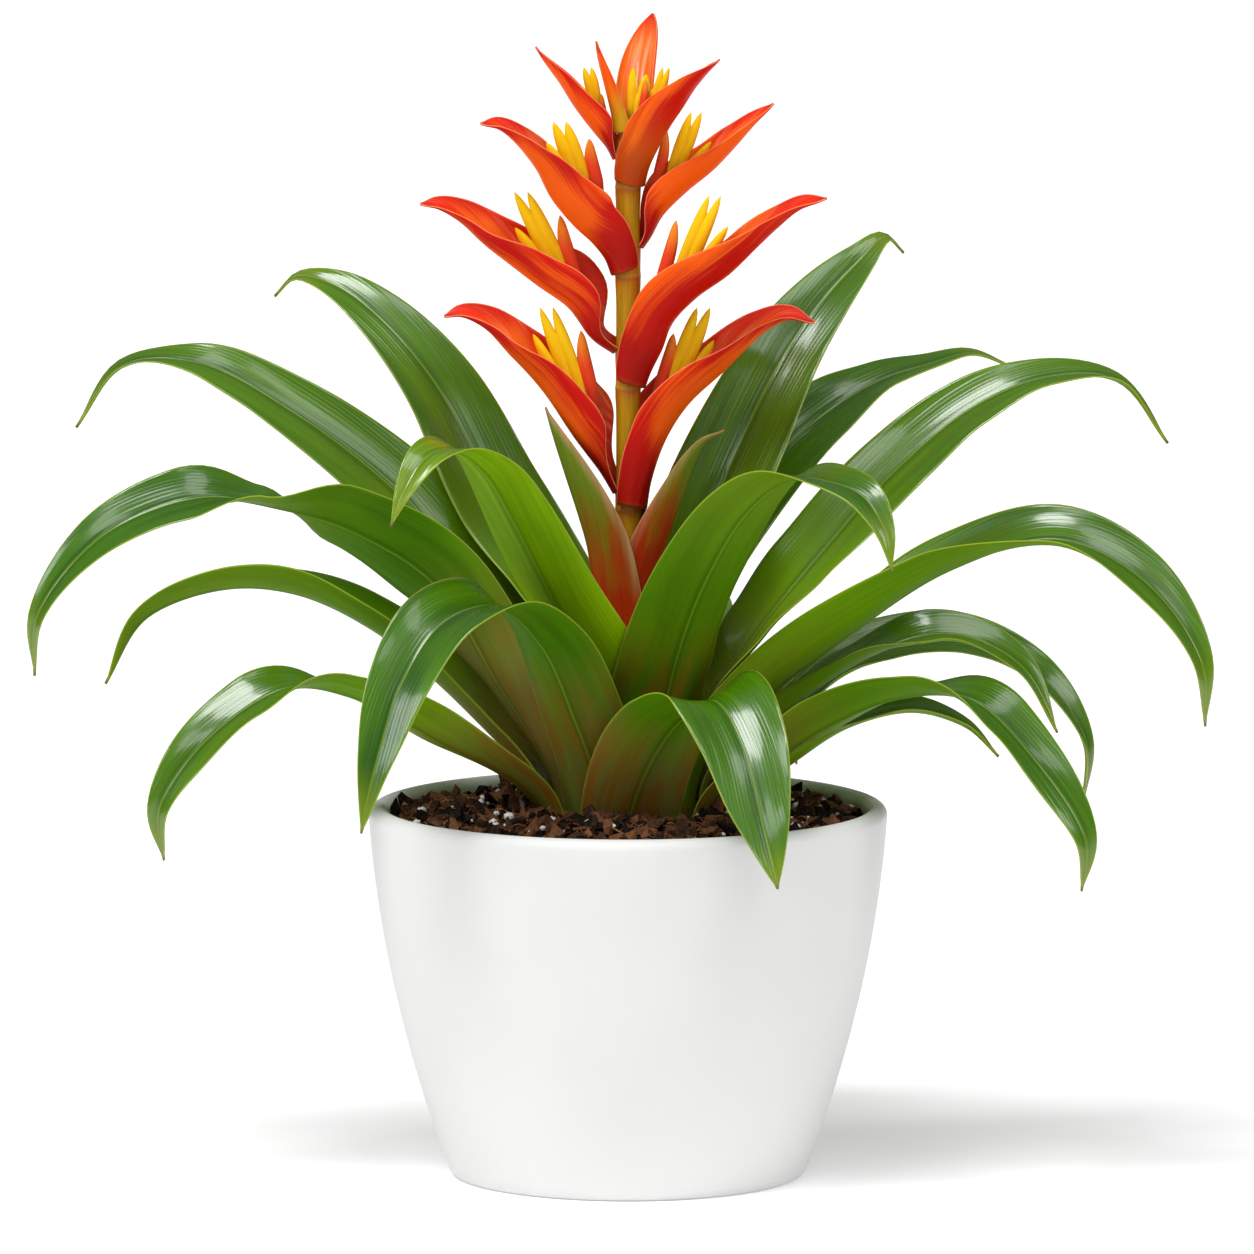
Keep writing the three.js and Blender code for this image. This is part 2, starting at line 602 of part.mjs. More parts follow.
// The flower stem is a little thicker at the node below each bract.
function stemGeometry() {
  const outline = [[0, CORE_TOP + SOIL_GAP], [STEM_NODE_RADIUS, CORE_TOP + SOIL_GAP]];
  const nodeHeights = FLORETS.map((floret) => floret.base).sort((a, b) => a - b);
  for (const height of [200, ...nodeHeights]) {
    outline.push([STEM_NODE_RADIUS, height - 5]);
    outline.push([STEM_RADIUS, height + 3]);
  }
  outline.push([STEM_RADIUS - 0.9, STEM_TOP], [0, STEM_TOP]);
  return lathe(outline, STEM_SIDES);
}

// One petal or calyx tooth: a slim spindle from its root to its tip.
function spindle(root, tip, radius, sides) {
  const direction = tip.clone().sub(root);
  const length = direction.length();
  const outline = [[0, 0], [0.6 * radius, 0], [radius, 0.5 * length], [0.9 * radius, 0.85 * length],
    [0, length]];
  const geometry = lathe(outline, sides);
  geometry.applyQuaternion(
    new THREE.Quaternion().setFromUnitVectors(new THREE.Vector3(0, 0, 1), direction.normalize()),
  );
  geometry.translate(root.x, root.y, root.z);
  return toSolid(geometry);
}

function floretParts(floret) {
  const { base, azimuth, size } = floret;
  const spot = ([reach, height], side = 0) => at(reach + side, base + height, azimuth);
  const root = spot(floret.root);
  const middle = root.clone().lerp(spot(floret.tall), 0.45);
  const trunkTop = root.clone().lerp(spot(floret.tall), 0.8);
  let yellow = spindle(root, trunkTop, 2.2 * size, 6);
  for (const side of [-2.2 * size, 2.2 * size]) {
    yellow = yellow.add(spindle(middle, spot(floret.tall, side), 1.8 * size, 6));
  }
  yellow = yellow.add(spindle(root.clone().lerp(middle, 0.4), spot(floret.short), 1.6 * size, 6));
  const red = spindle(spot(floret.calyxRoot), spot(floret.calyx), 2 * size, 6);
  return { yellow: fromSolid(yellow), red: fromSolid(red) };
}

const plant = new THREE.Group();

function place(name, geometry, kind) {
  const mesh = new THREE.Mesh(geometry, material(kind));
  mesh.name = name;
  plant.add(mesh);
}

place('pot', potGeometry(), 'pot');
place('soil', soilGeometry(), 'soil');
place('core_stem', coreGeometry(), 'core');
place('flower_stem', stemGeometry(), 'stem');
for (const leaf of LEAVES) {
  place(leaf.name, leafGeometry(leaf), 'leaf');
}
for (const bract of SCAPE_BRACTS) {
  place(bract.name, bractGeometry(bract), 'scape');
}
for (const bract of BRACTS) {
  place(bract.name, bractGeometry(bract), 'bract');
}
for (const floret of FLORETS) {
  const { yellow, red } = floretParts(floret);
  place(floret.bract.replace('bract', 'florets'), yellow, 'yellow');
  place(floret.bract.replace('bract', 'calyx'), red, 'calyx');
}

export default plant;
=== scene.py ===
"""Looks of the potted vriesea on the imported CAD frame. Meshes are made in millimetres, then scaled."""

import math
import random

import bpy
import numpy as np
from mathutils import Matrix, Vector


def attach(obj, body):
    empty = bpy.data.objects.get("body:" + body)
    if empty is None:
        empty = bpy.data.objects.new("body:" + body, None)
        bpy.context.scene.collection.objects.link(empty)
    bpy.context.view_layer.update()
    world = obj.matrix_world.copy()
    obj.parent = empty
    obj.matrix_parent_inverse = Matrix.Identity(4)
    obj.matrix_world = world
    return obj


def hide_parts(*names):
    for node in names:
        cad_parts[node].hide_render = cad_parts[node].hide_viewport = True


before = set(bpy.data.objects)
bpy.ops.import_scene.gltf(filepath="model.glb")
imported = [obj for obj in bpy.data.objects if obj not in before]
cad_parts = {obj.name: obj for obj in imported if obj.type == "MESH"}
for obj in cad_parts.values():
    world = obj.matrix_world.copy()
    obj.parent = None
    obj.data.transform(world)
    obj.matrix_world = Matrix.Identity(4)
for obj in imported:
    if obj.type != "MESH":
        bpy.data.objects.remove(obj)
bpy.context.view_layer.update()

MM = 0.001

# Camera, fitted to the photograph: a long lens far away, a little above the plant. Its place is in metres.
CAMERA_DISTANCE = 4.222
CAMERA_HEIGHT = 0.725
CAMERA_PITCH = 7.27
PHOTO_SIZE = 1254
FOCAL_PIXELS = 12597
SENSOR_WIDTH = 36
CENTRE_COLUMN = 628

# Studio light. The world is brighter overhead than at the horizon, and the floor gives off a faint
# light of its own. The floor's sizes are in metres. Each wide sun is (name, azimuth, elevation,
# strength, spread).
HORIZON_LIGHT = 0.06
ZENITH_LIGHT = 0.22
FLOOR_GLOW = 0.2
FLOOR_HALF_WIDTH = 30
FLOOR_DROP = 0.0002
SUNS = [
    ("light_high_left", -128, 61, 1.9, 23),
    ("light_high_right", -55, 64, 0.8, 30),
    ("light_front_left", -113, 32, 0.25, 14),
    ("light_front_right", -68, 32, 0.2, 14),
    ("light_left", -163, 27, 0.6, 20),
    ("light_right", -17, 27, 0.5, 20),
]

# Pot and soil, as in the solids
FOOT_RADIUS = 60
RIM_RADIUS = 88
WALL_BULGE_RADIUS = 84
POT_HEIGHT = 126
WALL_THICKNESS = 7
FLOOR_THICKNESS = 8
FOOT_CHAMFER = 1.5
FOOT_RECESS = 0.6
FOOT_RING_WIDTH = 5
POT_SIDES = 160
SOIL_GAP = 0.3
SOIL_EDGE_HEIGHT = 121
SOIL_MOUND_HEIGHT = 126
PLANT_HOLE_RADIUS = 33
BARE_RADIUS = 36
SOIL_SEED = 11
CHIP_COUNT = 1900
SHARD_COUNT = 90
FIBRE_COUNT = 420
PERLITE_COUNT = 150

# Plant axis
CORE_RADIUS = 6.2
CORE_BOTTOM = 110.4
CORE_TOP = 150
STEM_RADIUS = 4
STEM_NODE_RADIUS = 4.3
STEM_TOP = 356
STEM_SIDES = 48
STEM_STEPS = 412
SCAPE_NODE_HEIGHT = 200
NODE_DROP = 0.3
RING_HEIGHT = 0.12

# Blades
LEAF_THICKNESS = 1.0
BRACT_THICKNESS = 0.8
EDGE_THICKNESS_SHARE = 0.4
TIP_HALF_WIDTH = 0.3
LEAF_GRID = (84, 24)
BRACT_GRID = (56, 28)
LEAN = 1.35
MIDRIB_DEPTH = 0.35
MIDRIB_HALF_WIDTH = 1.4
BRACT_RIDGE = -0.1
FOLD_DEPTH = 1.0
WAVE_HEIGHT = 0.7
SEED_STEP = 1.7
SCAPE_SEED = 50
BRACT_SEED = 80

# Leaf skins. Greens are linear red, green and blue, and rough is the lowest roughness.
UPPER_SKIN = dict(name="leaf_upper_skin", deep=(0.013, 0.07, 0.001), fresh=(0.056, 0.172, 0.001),
                  lime=(0.17, 0.31, 0.002), rough=0.18, level=0.45, coat=0.5, rib=-0.22)
UNDER_SKIN = dict(name="leaf_under_skin", deep=(0.017, 0.082, 0.0003), fresh=(0.054, 0.178, 0.0003),
                  lime=(0.21, 0.4, 0.001), rough=0.42, level=0.04, coat=0.0, rib=0.22)

# The tables of blades repeat the solids. A path goes through [reach from the axis, height, azimuth].
# Tint is how lime (which also sets a painted glow of light low on the leaf), how red-brown at the base and
# how tan at the base the leaf is.
LEAVES = [
    dict(name="leaf_front", width=38, foot=0.9, taper=4.2, curl=[30, 36, 30, 22], roll=[0, 0, 12, 20, 15],
         tint=(0.1, 0.75, 0.9),
         path=[[28, 112, -91], [31, 127, -88], [43, 147, -80], [58, 164, -72], [73, 171, -67],
               [90, 158, -65], [104, 136, -65], [113, 112, -64]]),
    dict(name="leaf_left_6", width=34, foot=0.9, taper=4, curl=[30, 34, 28, 20],
         roll=[0, 0, -10, -20, -20], tint=(0.05, 0.7, 0.6),
         path=[[24.6, 112, -107], [29, 136, -110], [42, 161, -114.5], [59.5, 188, -118.5],
               [80, 203, -123], [101, 198, -128], [117, 179, -130], [126, 156, -131], [132, 130, -132]]),
    dict(name="leaf_left_4", width=35, foot=0.75, taper=3.6, curl=[30, 34, 26, 20], roll=[0, 0, 0, -20],
         tint=(1, 0, 0),
         path=[[13.8, 112, -95], [16, 145, -99], [26, 172, -111], [50.5, 204, -120], [75, 234, -121.5],
               [93, 250, -121], [109, 258, -122], [122, 256, -123], [131, 246, -124], [136, 234, -125]]),
    dict(name="leaf_right_4", width=39, foot=0.8, taper=3.4, curl=[30, 34, 26, 20], roll=[0, 0, 0, 20],
         tint=(0.15, 1, 0.25),
         path=[[16.6, 112, -68], [19.5, 140, -67], [28, 166, -64], [39, 188, -63], [56, 213, -61],
               [77, 235, -59], [98, 247, -57], [116, 247.5, -55], [129, 243, -53], [137, 232, -52],
               [141, 219, -52]]),
    dict(name="leaf_right_1", width=40, foot=0.5, taper=3.4, curl=[30, 30, 20, 16],
         roll=[0, 0, 8, 34, 48, 48, 48, 48, 20], tint=(0.25, 0.6, 0.6),
         path=[[10.5, 112, 15], [11.6, 160, 16], [20, 195, 17], [31, 228, 19], [58.5, 275, 27],
               [76.5, 294, 30], [94, 306, 33], [106, 313, 34], [115, 307, 35]]),
    dict(name="leaf_left_1", width=37, foot=0.65, taper=3.6, curl=[30, 30, 20, 16],
         roll=[0, 0, -8, -30, -42, -45, -45, -45, -20], tint=(0.3, 0.2, 0.2),
         path=[[12.2, 112, 162], [13.2, 160, 162], [26, 194, 160], [49, 230, 158], [69, 264, 157],
               [91, 287, 156], [110, 298, 155], [125, 300, 155], [133, 293, 155]]),
    dict(name="leaf_left_2", width=35, foot=0.62, taper=3, curl=[30, 34, 24, 18],
         roll=[0, 0, -12, -40, -52, -50, -42, -12, -28], tint=(0.3, 0.2, 0.5),
         path=[[15.6, 112, 173], [19, 150, 173], [35, 184, 171], [57, 207, 170], [82, 233.5, 170],
               [114, 258, 172], [147, 275, 173], [173, 273, 173], [188, 252, 174]]),
    dict(name="leaf_right_3", width=33, foot=0.7, taper=3.4, curl=[30, 34, 24, 18],
         roll=[0, 0, 5, 20, 36, 44, 44, 38, 22, 10, 30], tint=(0.35, 0.2, 0.4),
         path=[[19.8, 112, 4], [22.5, 145, 4], [38, 177, 4], [67, 213, 6], [91, 239, 7], [118, 260, 8],
               [144, 270, 8], [168, 268, 8], [185, 246, 8]]),
    dict(name="leaf_right_2", width=34, foot=0.6, taper=3, curl=[30, 34, 24, 18],
         roll=[0, 0, 0, 25, 45, 50, 48, 20, 8, 20], tint=(0.2, 0.2, 0.2),
         path=[[13.8, 112, 60], [15.4, 150, 60], [28, 190, 58], [52, 225, 44], [76, 249, 37],
               [104, 264, 35], [125, 269, 34], [143, 271, 34], [160, 265, 34]]),
    dict(name="leaf_right_5", width=41, foot=0.7, taper=3, curl=[30, 50, 72, 70, 45, 30, 20],
         roll=[0, -5, -6, 6, 20, 38, 45], tint=(0.25, 0.5, 0.15),
         path=[[22, 112, -24], [25.5, 140, -24], [43, 160, -22], [77, 187.5, -19], [112, 211, -16],
               [149, 221.5, -15], [178, 208, -14], [197, 182, -14], [199, 159, -14]]),
    dict(name="leaf_left_3", width=36, foot=0.75, taper=3, curl=[30, 40, 26, 20],
         roll=[0, 5, 22, 44, 57, 48, 0, -42, -47, -46, -45], tint=(0.05, 0.5, 1),
         path=[[20.2, 112, -164], [25.5, 134, -164], [45, 170, -165], [66, 203, -166], [93, 221.5, -168],
               [118, 230.5, -169], [146, 234, -170], [179, 221, -171], [200, 194, -172], [201, 173, -173]]),
    dict(name="leaf_left_5", width=32, foot=0.8, taper=3.6, curl=[24, 50, 66, 66, 50, 40],
         roll=[0, 0, -6, -2, 10, 16, 18], tint=(0.2, 0.4, 0.9),
         path=[[23, 112, 168], [30, 131, 168], [47, 149.5, 168], [63, 165.5, 169], [86, 184, 170],
               [113, 197, 172], [139, 198.5, 173], [165, 188, 174], [178, 165, 175]]),
    dict(name="leaf_left_7", width=30, foot=0.85, taper=3.6, curl=[24, 36, 28, 22],
         roll=[0, 10, 25, 15, -28, -48, -50], tint=(0.3, 0.9, 0.8),
         path=[[28, 112, -158], [34, 130, -160], [68, 152, -162], [98, 168, -163], [118, 171, -164],
               [146, 154, -165], [162, 130, -166], [160, 112, -167]]),
    dict(name="leaf_right_6", width=26, foot=0.85, taper=3.4, curl=[24, 44, 34, 26],
         roll=[0, 0, -15, -5, 30, 45, 45], tint=(0.3, 0.2, 0.8),
         path=[[24, 112, 8], [28, 136, 8], [56, 160, 8], [88, 179, 7], [112, 183, 6], [134, 172, 5],
               [146, 149, 4]]),
    dict(name="leaf_right_7", width=26, foot=0.85, taper=3.4, curl=[24, 40, 30, 24],
         roll=[0, 0, 10, 28, 42, 45, 45], tint=(0.2, 0.2, 0.5),
         path=[[26.8, 112, 25], [32, 133, 26], [60, 151, 32], [92, 170, 32], [124, 176, 26],
               [151, 163, 20], [166, 140, 19], [165, 118, 19]]),
    dict(name="leaf_right_8", width=30, foot=0.85, taper=3.6, curl=[24, 40, 30, 24],
         roll=[0, 0, -24, -12, 30, 45, 45], tint=(0.15, 0.6, 0.5),
         path=[[28.8, 112, -24], [35, 130, -24], [54, 145, -23], [72, 157, -22], [97, 168, -20],
               [121, 168, -19], [144, 147, -18], [160, 121, -17], [159, 103, -17]]),
    dict(name="leaf_right_9", width=22, foot=0.85, taper=3, curl=[24, 40, 30, 24], roll=[0, 0, 10, 20],
         tint=(0.5, 0.3, 0.3),
         path=[[31, 112, 8], [37, 126, 9], [56, 140, 10], [76, 152, 10], [98, 157, 8], [115, 152, 6],
               [126, 141, 4]]),
    dict(name="leaf_back_1", width=30, foot=0.6, taper=3.2, curl=[30, 34, 24, 18], roll=[0, 0, 0, 8, 10],
         tint=(0.3, 0.2, 0.3),
         path=[[15.4, 112, 84], [17.2, 148, 84], [30, 180, 86], [54, 198, 90], [82, 194, 93],
               [106, 173, 95], [116, 148, 95]]),
    dict(name="leaf_back_2", width=31, foot=0.6, taper=3.2, curl=[30, 34, 24, 18],
         roll=[0, 0, 0, -8, -12], tint=(0.2, 0.3, 0.3),
         path=[[17.4, 112, 73], [20.2, 145, 73], [38, 169, 73], [68, 184, 74], [98, 180, 75],
               [124, 160, 76], [136, 134, 76]]),
    dict(name="leaf_back_3", width=30, foot=0.6, taper=3.2, curl=[30, 34, 24, 18], roll=[0, 0, 0, 8, 12],
         tint=(0.35, 0.3, 0.3),
         path=[[19.1, 112, 129], [22.6, 145, 129], [43, 174, 128], [74, 191, 127], [104, 187, 126],
               [130, 168, 124], [142, 146, 123]]),
    dict(name="leaf_back_4", width=32, foot=0.8, taper=3.4, curl=[30, 36, 28, 20], roll=[0, 0, 5, 10],
         tint=(0.15, 0.4, 0.5),
         path=[[21.4, 112, 97], [24.5, 133, 97], [45, 152, 95], [76, 164, 90], [108, 155, 86],
               [130, 133, 83], [138, 108, 82]]),
    dict(name="leaf_back_5", width=25, foot=0.75, taper=3.4, curl=[30, 36, 28, 20], roll=[0],
         tint=(0.25, 0.4, 0.5),
         path=[[24, 112, 71], [28, 131, 71], [52, 148, 70], [82, 158, 67], [110, 153, 65], [128, 138, 64],
               [134, 123, 64]]),
    dict(name="leaf_back_6", width=28, foot=0.8, taper=3.4, curl=[30, 36, 28, 20], roll=[0],
         tint=(0.2, 0.4, 0.5),
         path=[[25.4, 112, 116], [30, 127, 116], [53, 141, 115], [84, 152, 112], [112, 146, 110],
               [128, 130, 109], [133, 118, 108]]),
]

# Boat shaped bracts. Flaps are the depths of the two sides, clockwise one first, gape is half the
# opening and wrap is how far each side goes round the stem. Tint of a scape bract is how green, how
# red and how pale at the edges it is.
SCAPE_BRACTS = [
    dict(name="scape_bract_left", flaps=[13, 16], gape=8, wrap=[90, 118], taper=3, roll=[0],
         tint=(0.5, 0.3, 1),
         path=[[8.7, 158, -172], [9.7, 176, -172], [11.5, 196, -172], [13.5, 213, -172],
               [16.5, 224, -172], [20.7, 237, -172], [24.8, 250, -172], [28, 261.5, -172]]),
    dict(name="scape_bract_right", flaps=[13, 6], gape=6.5, wrap=[106, 90], taper=2.6, roll=[0],
         tint=(0.3, 1, 0.5),
         path=[[5.8, 166, -12], [6.4, 188, -12], [8.2, 201, -12], [13, 216, -12], [18.5, 231, -12],
               [23, 243, -12], [27, 250, -12], [33, 254, -12]]),
    dict(name="scape_bract_front", flaps=[3, 3], gape=6, wrap=[34, 34], taper=3, roll=[0], tint=(0, 1, 0),
         path=[[11, 150, -112], [11.3, 166, -112], [11.8, 178, -110], [12.4, 190, -108]]),
    dict(name="scape_bract_back", flaps=[4, 4], gape=4.5, wrap=[90, 90], taper=2.6, roll=[0],
         tint=(0.9, 0.2, 0.2),
         path=[[5.4, 206, 80], [8, 220, 76], [13, 236, 70], [19, 251, 64]]),
]

# Tint of a bract is how orange, how yellow-olive at the base and how strong the painted highlight inside it
# is. A first number below zero puts the orange at the rims instead of along the middle.
BRACTS = [
    dict(name="bract_1", flaps=[20, 14], gape=7.5, wrap=[90, 50], taper=1.9, roll=[0, 0, 0, -20, -32],
         tint=(0.35, 0, 0.5),
         path=[[4.9, 232, -176], [9, 239, -176], [18, 251, -177], [28, 266, -178], [39, 279, -178],
               [48, 289, -178], [56, 293, -178], [62, 292, -178]]),
    dict(name="bract_2", flaps=[14, 18], gape=7, wrap=[115, 90], taper=1.9, roll=[0, 0, 0, 20, 32],
         tint=(0.4, 0, 0.4),
         path=[[6.1, 227, -14], [7.6, 236, -12], [12.5, 250, -8], [20, 262, -5], [32, 273.5, -3],
               [45, 287, -3], [54, 292, -3], [63, 290, -3]]),
    dict(name="bract_3", flaps=[20, 14], gape=7.5, wrap=[90, 60], taper=1.9, roll=[0, 0, 0, -20, -32],
         tint=(0.25, 0, 0.5),
         path=[[4.9, 279.5, -176], [12, 284.5, -176], [20, 295, -177], [31, 303, -178], [46, 315, -178],
               [57, 325.5, -178], [64, 329.5, -178], [70, 330, -178]]),
    dict(name="bract_4", flaps=[15, 17], gape=8, wrap=[112, 90], taper=1.9, roll=[0, 0, 0, 20, 32],
         tint=(-0.02, 0, 0.6),
         path=[[5.6, 268, -28], [7.6, 273, -28], [12, 281, -28], [16, 290, -28], [25, 299, -28],
               [38, 308, -28], [57, 325, -28], [66, 332, -28], [75, 335, -28]]),
    dict(name="bract_5", flaps=[15, 17], gape=7.5, wrap=[90, 120], taper=1.9, roll=[0, 0, 0, -20, -32],
         tint=(0.4, 0, 0.5),
         path=[[5.4, 306, -166], [7.6, 311.5, -166], [12, 317, -166], [18, 322.5, -166], [26, 332, -166],
               [32, 343, -166], [39, 352, -166], [45, 357, -166], [51, 358, -166]]),
    dict(name="bract_6", flaps=[11, 14], gape=6.5, wrap=[45, 90], taper=1.9, roll=[0, 0, 0, 12, 20],
         tint=(0.75, 0, 0.3),
         path=[[4.9, 315, -6], [7.6, 319, -5], [11.5, 326, -4], [20, 334.5, -3], [29, 342, -3],
               [37.5, 351.5, -3], [43, 358, -3], [49, 364, -3]]),
    dict(name="bract_7", flaps=[9, 9], gape=6, wrap=[90, 40], taper=1.9, roll=[0], tint=(0.5, 0, 0.5),
         path=[[4.9, 345, -176], [7, 349, -176], [12, 355, -177], [18, 363, -178], [23, 371, -178],
               [28, 378, -178], [31, 383, -178]]),
    dict(name="bract_8", flaps=[11, 11], gape=7, wrap=[105, 110], taper=1.9, roll=[0, 0, 0, 12, 20],
         tint=(-0.05, 0.25, 0.4),
         path=[[5.4, 336, -45], [7.2, 341, -45], [10, 346, -45], [17, 356, -45], [25, 365, -45],
               [33, 373, -45], [43, 381, -45]]),
    dict(name="bract_9", flaps=[2.4, 4], gape=3.6, wrap=[90, 90], taper=1.9, roll=[0], tint=(0.8, 1, 0.6),
         path=[[4.4, 354, -166], [5.6, 361, -166], [8, 371, -166], [10, 379, -165], [11, 385, -165]]),
    dict(name="bract_10", flaps=[5, 3.6], gape=7.5, wrap=[60, 40], taper=3.5, roll=[0], tint=(1, 0.5, 1),
         path=[[5, 354, 58], [6.6, 362, 58], [8.5, 374, 55], [10.5, 385, 48], [12, 393.5, 45]]),
]

# Florets of each bract, in its own plane. A root or a tip is [reach, height above the bract base].
FLORETS = [
    dict(bract="bract_1", base=226, azimuth=-178, size=1, root=[12, 24], tall=[27.5, 69], short=[32, 60],
         calyx_root=[10.5, 32], calyx=[16.5, 61]),
    dict(bract="bract_2", base=226, azimuth=-4, size=1, root=[11.5, 30], tall=[25.5, 69], short=[29, 58],
         calyx_root=[8.6, 34], calyx=[16, 60]),
    dict(bract="bract_3", base=278, azimuth=-178, size=1, root=[18, 18], tall=[36, 56], short=[38, 44],
         calyx_root=[15.5, 19], calyx=[23.5, 48]),
    dict(bract="bract_4", base=268, azimuth=-28, size=1, root=[15, 26], tall=[33, 66], short=[38, 56],
         calyx_root=[10, 28], calyx=[19, 57]),
    dict(bract="bract_5", base=304, azimuth=-168, size=1, root=[14, 26], tall=[23.5, 54], short=[28, 47],
         calyx_root=[9, 26], calyx=[14, 48]),
    dict(bract="bract_6", base=314, azimuth=-4, size=0.8, root=[13, 18], tall=[23, 47], short=[28, 37],
         calyx_root=[8, 16], calyx=[13.5, 41]),
    dict(bract="bract_7", base=345, azimuth=-178, size=0.6, root=[10.4, 15], tall=[13.6, 31],
         short=[16.5, 25], calyx_root=[6.8, 8], calyx=[9.4, 22]),
    dict(bract="bract_8", base=335, azimuth=-45, size=0.7, root=[11, 22], tall=[18, 42], short=[14, 37],
         calyx_root=[6, 24], calyx=[8.6, 37]),
]

# Buds at the top as (side, height, half width), and filaments as (side, height)
TOP_BUDS = [(1.7, 376, 2.1), (6.2, 374, 2.2), (3.8, 368, 1.8), (9.2, 370, 1.6)]
BUD_ROOT_HEIGHT = 355
FILAMENTS = [(3.4, 378), (4.9, 375)]


# Numbers

def smoothstep(value, low, high):
    share = np.clip((np.asarray(value, float) - low) / (high - low), 0, 1)
    return share * share * (3 - 2 * share)


def lerp(a, b, share):
    return a + (b - a) * share


def at(reach, height, azimuth):
    angle = math.radians(azimuth)
    return np.array([reach * math.cos(angle), reach * math.sin(angle), height])


def along(stations, shares):
    """The values of a list of even stations at shares of the length, eased between stations."""
    stations = np.asarray(stations, float)
    place = np.asarray(shares, float) * (len(stations) - 1)
    index = np.minimum(np.floor(place).astype(int), max(len(stations) - 2, 0))
    after = np.minimum(index + 1, len(stations) - 1)
    return lerp(stations[index], stations[after], smoothstep(place - index, 0, 1))


def unit(vectors):
    return vectors / np.linalg.norm(vectors, axis=-1, keepdims=True)


def spline_point(points, share):
    """A point of the centripetal Catmull-Rom curve that the solids use."""
    place = (len(points) - 1) * share
    index = min(int(place), len(points) - 2)
    weight = place - index
    p1, p2 = points[index], points[index + 1]
    p0 = points[index - 1] if index > 0 else 2 * p1 - p2
    p3 = points[index + 2] if index + 2 < len(points) else 2 * p2 - p1
    d0, d1, d2 = (max(np.dot(b - a, b - a) ** 0.25, 1e-4) for a, b in ((p0, p1), (p1, p2), (p2, p3)))
    m1 = ((p1 - p0) / d0 - (p2 - p0) / (d0 + d1) + (p2 - p1) / d1) * d1
    m2 = ((p2 - p1) / d1 - (p3 - p1) / (d1 + d2) + (p3 - p2) / d2) * d1
    cubic = 2 * p1 - 2 * p2 + m1 + m2
    square = -3 * p1 + 3 * p2 - 2 * m1 - m2
    return ((cubic * weight + square) * weight + m1) * weight + p1


def even_curve(path, count):
    """Points and directions at even lengths along a path, and the whole length."""
    points = [np.asarray(p, float) for p in path]
    many = 400
    raw = np.array([spline_point(points, i / many) for i in range(many + 1)])
    lengths = np.concatenate([[0], np.cumsum(np.linalg.norm(np.diff(raw, axis=0), axis=1))])
    shares = np.interp(np.linspace(0, lengths[-1], count + 1), lengths, np.linspace(0, 1, many + 1))
    place = np.array([spline_point(points, s) for s in shares])
    step = 1e-3
    ahead = np.array([spline_point(points, min(s + step, 1)) - spline_point(points, max(s - step, 0))
                      for s in shares])
    return place, unit(ahead), lengths[-1]


# Meshes

def new_piece(name, vertices, faces, materials, replaces=None, smooth=True, face_slots=None):
    """A mesh piece from vertices in millimetres, which rides on the part's one body."""
    mesh = bpy.data.meshes.new(name)
    mesh.from_pydata((np.asarray(vertices) * MM).tolist(), [], faces)
    mesh.polygons.foreach_set("use_smooth", [smooth] * len(mesh.polygons))
    for material in materials:
        mesh.materials.append(material)
    if face_slots is not None:
        mesh.polygons.foreach_set("material_index", face_slots)
    mesh.update()
    piece = bpy.data.objects.new(name, mesh)
    bpy.context.scene.collection.objects.link(piece)
    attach(piece, "root")
    if replaces:
        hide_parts(replaces)
    return piece


def add_values(piece, name, values):
    """Stores one vector for each vertex, for the materials to read."""
    attribute = piece.data.attributes.new(name, "FLOAT_VECTOR", "POINT")
    attribute.data.foreach_set("vector", np.asarray(values, float).ravel())


class Bundle:
    """Many small shapes that become one piece, with stored values for each vertex."""

    def __init__(self):
        self.vertices, self.faces, self.values = [], [], []

    def add(self, points, faces, values=()):
        start = len(self.vertices)
        self.vertices.extend(points)
        self.faces.extend(tuple(start + k for k in face) for face in faces)
        self.values.extend(values)


def tube_faces(rings, sides):
    """Faces of a tube of rings of vertices, closed at both ends."""
    faces = []
    for i in range(rings - 1):
        for k in range(sides):
            a, b = i * sides + k, i * sides + (k + 1) % sides
            faces.append((a, b, b + sides, a + sides))
    faces.append(tuple(range(sides - 1, -1, -1)))
    faces.append(tuple((rings - 1) * sides + k for k in range(sides)))
    return faces


def lathe(outline, sides):
    """Vertices and faces of an outline of [radius, height], turned about the axis and closed."""
    vertices, faces = [], []
    rows = []
    for radius, height in outline:
        if radius == 0:
            rows.append([len(vertices)] * sides)
            vertices.append((0, 0, height))
            continue
        rows.append([len(vertices) + i for i in range(sides)])
        for i in range(sides):
            angle = 2 * math.pi * i / sides
            vertices.append((radius * math.cos(angle), radius * math.sin(angle), height))
    for low, high in zip(rows, rows[1:]):
        for i in range(sides):
            j = (i + 1) % sides
            corners = [low[i], low[j], high[j], high[i]]
            faces.append(list(dict.fromkeys(corners)))
    return vertices, [face for face in faces if len(face) > 2]


def strap_section(leaf, s, t, reach):
    """Across and inward places on a leaf's curled section, and its half width."""
    spread = lerp(leaf["foot"], 1, smoothstep(s, 0, 0.3)) * (1 - s ** leaf["taper"])
    half = np.maximum(leaf["width"] / 2 * spread, TIP_HALF_WIDTH)
    bend = np.maximum(np.radians(along(leaf["curl"], s)), half / reach)
    return half * np.sin(bend * t) / bend, half * (1 - np.cos(bend * t)) / bend, half


